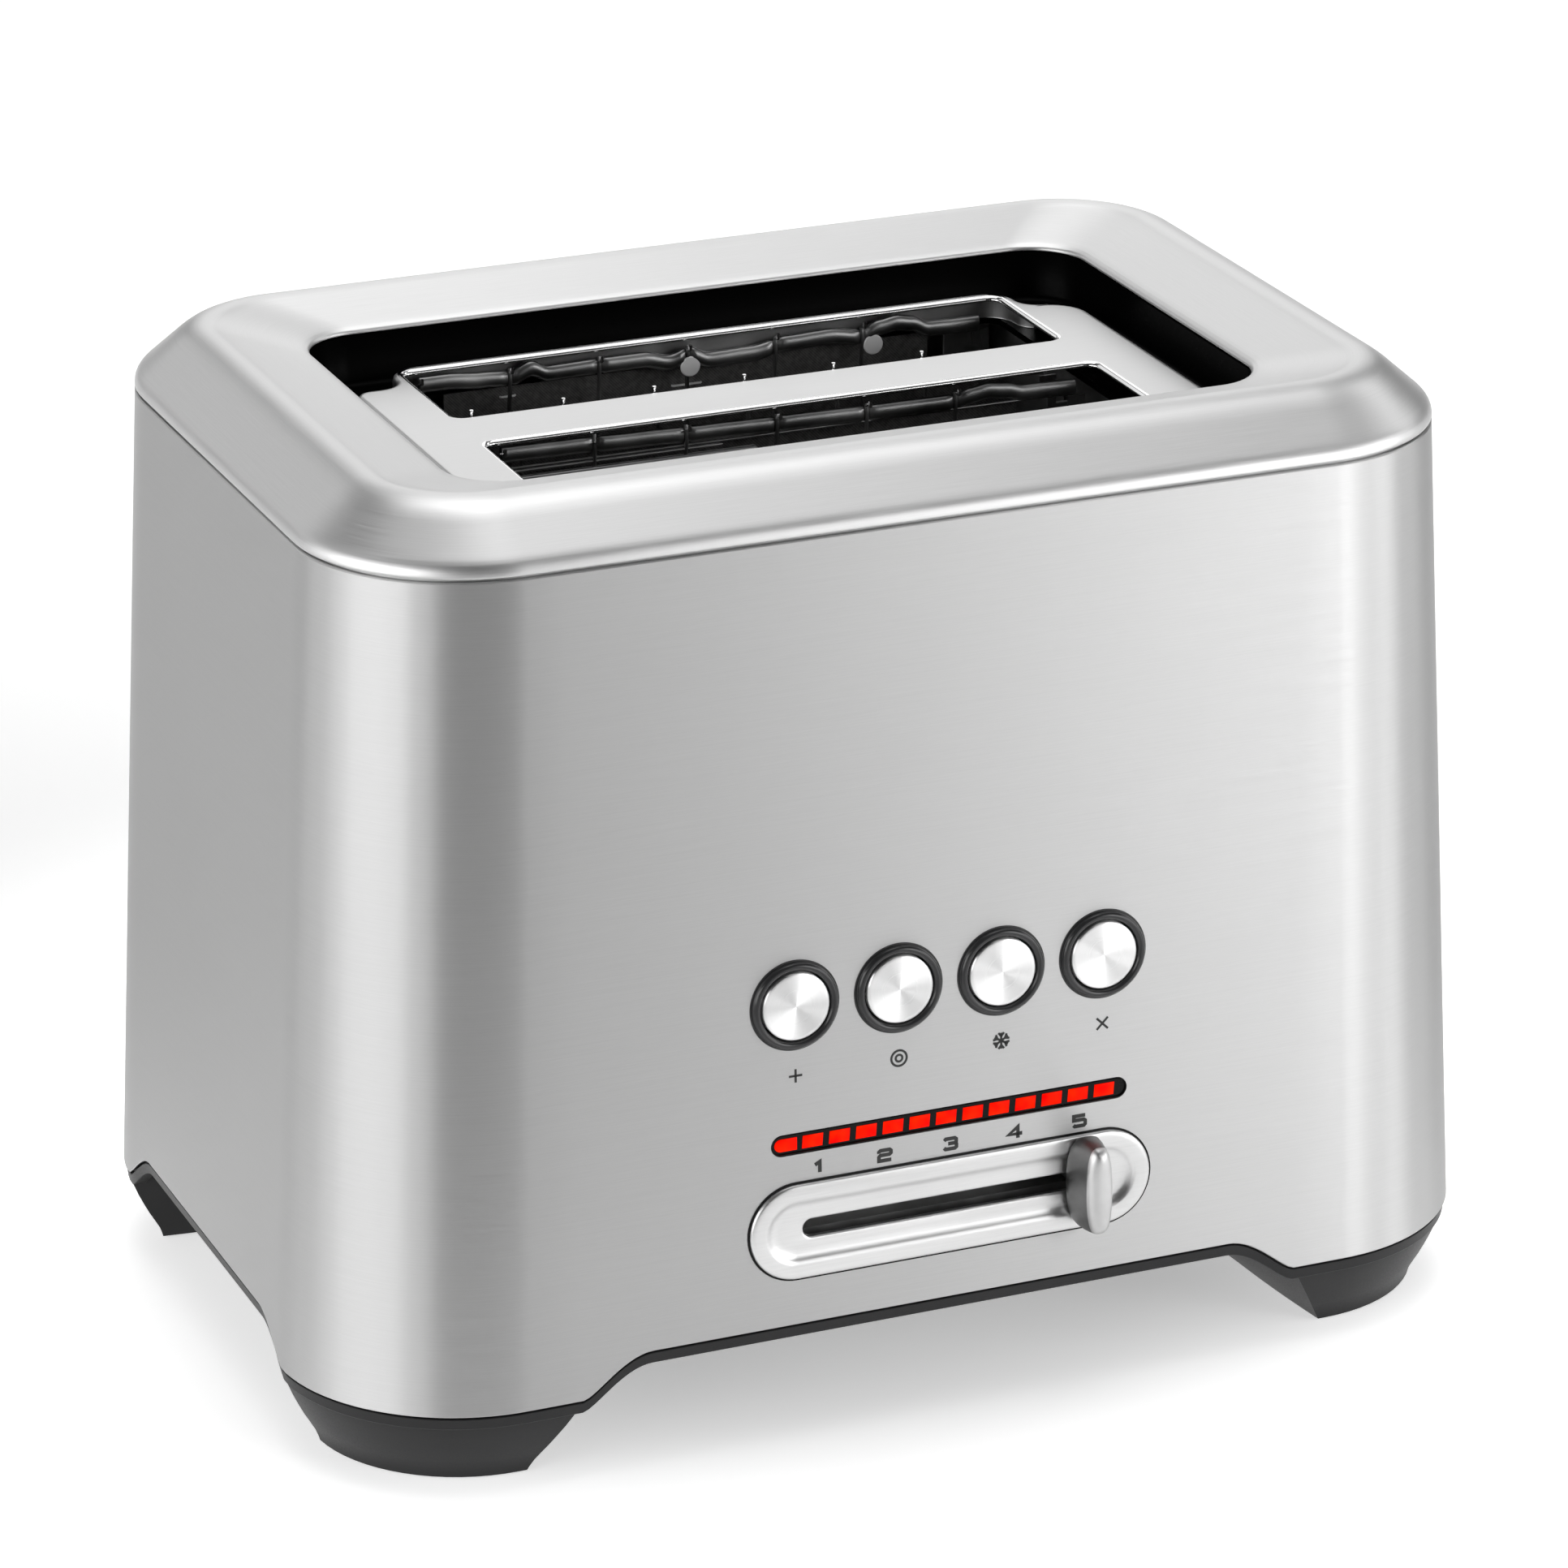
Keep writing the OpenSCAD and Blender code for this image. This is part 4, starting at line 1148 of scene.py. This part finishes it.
def build_slot_details():
    """Rivets on the rear guard, and staples and a tab on the board behind it."""
    face = middle_mm("guard_rear_outer").y - 1.0
    profile = ((2.3, 0.0), (2.3, 0.25), (2.1, 0.42), (1.2, 0.5), (0.1, 0.52))
    rivets = [solid([[(x + r * cos(t), face - h, z + r * sin(t)) for t in turns(28)]
                     for r, h in profile]) for x, z in ((-3.3, 194.0), (40.5, 193.6))]
    make("guard_rivets", join(*rivets), "screw_steel", body="guard_rear_outer", material=RIVET)
    face = box_mm("heater_board_rear")[0].y
    staples = [tube([(x0, face, z), (x0 + 0.2, face - 0.3, z), (x1 - 0.2, face - 0.3, z), (x1, face, z)],
                    0.28, 8) for x0, x1, z in ((-46, -42.5, 190.8), (-5.6, 1.3, 188.2))]
    make("board_staples", join(*staples), "screw_steel", material=RIVET)
    make("board_tab", block(60, 69, face, face + 0.8, 184, 193.4), "galvanised", bevel=0.25)


# ---------- carried-over CAD nodes ----------


def paint_cad():
    slots = {part["node"]: part["material_slot"] for part in frame["record"]["subparts"]}
    for name, node in frame["nodes"].items():
        node.data.materials.clear()
        node.data.materials.append(MATERIALS[slots[name]])


# ---------- stage ----------

CAMERA_AZIMUTH = -22.47
CAMERA_ELEVATION = 21.5
CAMERA_ROLL = -0.18
CAMERA_DISTANCE = 1.4801
CAMERA_LENS = 154.85
AIM = CENTRE + Vector((1.1, 0.0, 110.0)) * MM

FLOOR_SIZE = 60.0
# x, y, radius and strength of the floor's patches of painted light, in metres: painted pools of light round
# the object and in front of it, and a negative patch that paints shade under it; the far pair keeps the
# horizon pale without lighting the floor near the object
PAINTED_FLOOR_LIGHT = ((0.0, 0.0, 0.34, 0.55), (0.0, 0.0, 0.14, -0.17), (0.4, 1.1, 1.1, 0.28), (0.36, 0.2, 0.3, 0.12),
         (-0.55, 0.25, 0.42, 0.14), (0.34, -0.52, 0.36, 1.3), (0.0, 0.0, 70.0, 0.8), (0.0, 0.0, 2.3, -0.8))
GLOW_CORE = 0.45
WALLS = 0.15
DIM_WALL = 0.015
DIM_SIDE = radians(-22.5)
# place, aim, size, radiance and spread in degrees
SOFTBOXES = {
    "top": ((0.15, 0.12, 1.5), (0.1, 0.08, 0), (1.6, 1.25), 1.02, 180),
    "top_narrow": ((0.1, 0.35, 1.5), (0.05, 0.3, 0), (1.2, 1.0), 0.34, 70),
    "top_far": ((0.45, 1.35, 1.5), (0.4, 1.0, 0), (1.0, 0.8), 0.65, 90),
    "rear_right": ((0.95, 2.2, 1.1), (0, 0, 0.15), (1.6, 1.2), 1.22, 180),
    "rear_left": ((-0.95, 2.2, 1.1), (0, 0, 0.15), (1.6, 1.2), 0.74, 180),
    "high_front": ((0.8, -1.5, 1.5), (0, 0, 0.1), (0.9, 0.7), 0.1, 180),
    "high_right": ((1.6, 0.4, 1.3), (0, 0, 0.1), (0.7, 0.9), 1.65, 180),
}
# bearing from -Y towards -X in degrees, width in metres, radiance
STRIPS = ((45, 0.4, 2.5), (60, 0.45, 4.3), (74, 0.45, 4.3), (88, 0.45, 4.1), (102, 0.45, 2.5),
          (120, 0.7, 1.2), (-20, 0.35, 0.7), (-32, 0.35, 3.2), (-38, 0.9, 2.7), (-62, 0.6, 3.8),
          (-85, 0.8, 1.1))
STRIP_DISTANCE = 1.9
STRIP_HEIGHT = 0.96
STRIP_MIDDLE = 0.5


def build_camera():
    azimuth, elevation = radians(CAMERA_AZIMUTH), radians(CAMERA_ELEVATION)
    back = Vector((sin(azimuth) * cos(elevation), -cos(azimuth) * cos(elevation),
                   sin(elevation)))
    data = bpy.data.cameras.new("camera")
    data.lens = CAMERA_LENS
    data.sensor_width = 36.0
    data.clip_start = 0.05
    data.clip_end = 20.0
    camera = bpy.data.objects.new("camera", data)
    bpy.context.scene.collection.objects.link(camera)
    turn = (-back).to_track_quat("-Z", "Y").to_matrix().to_4x4()
    roll = Matrix.Rotation(radians(CAMERA_ROLL), 4, "Z")
    camera.matrix_world = Matrix.Translation(AIM + back * CAMERA_DISTANCE) @ turn @ roll
    bpy.context.scene.camera = camera


def area_light(name, place, target, size, radiance, spread):
    """A softbox. radiance is its own brightness, whatever its size."""
    data = bpy.data.lights.new(name, "AREA")
    data.shape = "RECTANGLE"
    data.size, data.size_y = size
    data.energy = radiance * pi * size[0] * size[1]
    data.spread = radians(spread)
    light = bpy.data.objects.new(name, data)
    light.visible_camera = False
    bpy.context.scene.collection.objects.link(light)
    light.location = place
    light.rotation_mode = "QUATERNION"
    light.rotation_quaternion = (Vector(target) - Vector(place)).to_track_quat("-Z", "Y")


def build_floor():
    """A white floor that glows like a light table. Its emission paints pools of light near the object and
    behind it, and paints shade under it.
    """
    m = material("floor")
    m.set(Roughness=0.9, Specular_IOR_Level=0.0, Emission_Strength=1.0)
    m.tint(m.noise(m.coords(), 3.0), grey(0.9), grey(0.915))
    total = glow(m, *PAINTED_FLOOR_LIGHT[0])
    for values in PAINTED_FLOOR_LIGHT[1:]:
        both = m.add("Math", Value=total)
        m.link(glow(m, *values), both.inputs[1])
        total = both.outputs[0]
    white = m.add("CombineColor", Red=total, Green=total, Blue=total)
    m.set(Emission_Color=white.outputs["Color"])
    bpy.ops.mesh.primitive_plane_add(size=FLOOR_SIZE, location=(0, 0, 0))
    floor = bpy.context.active_object
    floor.name = "floor"
    floor.data.materials.append(m.owner)


def glow(m, x, y, radius, strength):
    """A round patch of painted light, or of painted shade when its strength is negative, full in its core,
    that fades to nothing at a radius.
    """
    source = m.add("TexCoord")
    offset = m.add("VectorMath", operation="DISTANCE", Vector=source.outputs["Object"])
    offset.inputs[1].default_value = (x, y, 0)
    fade = m.add("MapRange", interpolation_type="SMOOTHSTEP", Value=offset.outputs["Value"],
                 From_Min=radius * GLOW_CORE, From_Max=radius, To_Min=strength, To_Max=0)
    return fade.outputs["Result"]


def build_world():
    """Studio walls: pale behind the object, fading to dim in front of it."""
    world = bpy.data.worlds.new("studio")
    m = Nodes(world, "Background")
    source = m.add("TexCoord").outputs["Generated"]
    side = m.add("VectorMath", operation="DOT_PRODUCT", Vector=source)
    side.inputs[1].default_value = (sin(DIM_SIDE), -cos(DIM_SIDE), 0)
    level = m.add("MapRange", interpolation_type="SMOOTHSTEP", Value=side.outputs["Value"],
                  From_Min=-0.6, From_Max=0.5, To_Min=WALLS, To_Max=DIM_WALL)
    m.set(Color=(1, 1, 1, 1), Strength=level.outputs["Result"])
    bpy.context.scene.world = world


def build_light():
    build_world()
    for name, values in SOFTBOXES.items():
        area_light(name, *values)
    for bearing, width, radiance in STRIPS:
        t = radians(bearing)
        place = (-sin(t) * STRIP_DISTANCE, -cos(t) * STRIP_DISTANCE, STRIP_MIDDLE)
        area_light("strip_%d" % bearing, place, (0, 0, 0.1), (width, STRIP_HEIGHT), radiance, 180)


def set_view():
    scene = bpy.context.scene
    scene.view_settings.view_transform = "Standard"
    scene.view_settings.look = "None"


def build_object():
    paint_cad()
    build_shell()
    build_cap()
    build_liner()
    build_slot_plate()
    build_base()
    build_flange()
    build_feet()
    build_pads()
    build_buttons()
    build_light_bar()
    build_slider_plate()
    build_slider_knob()
    build_lever_knob()
    build_lever_bezel()
    build_numerals()
    build_pictograms()
    build_guards()
    build_return_spring()
    build_slot_details()


build_object()
build_camera()
build_floor()
build_light()
set_view()
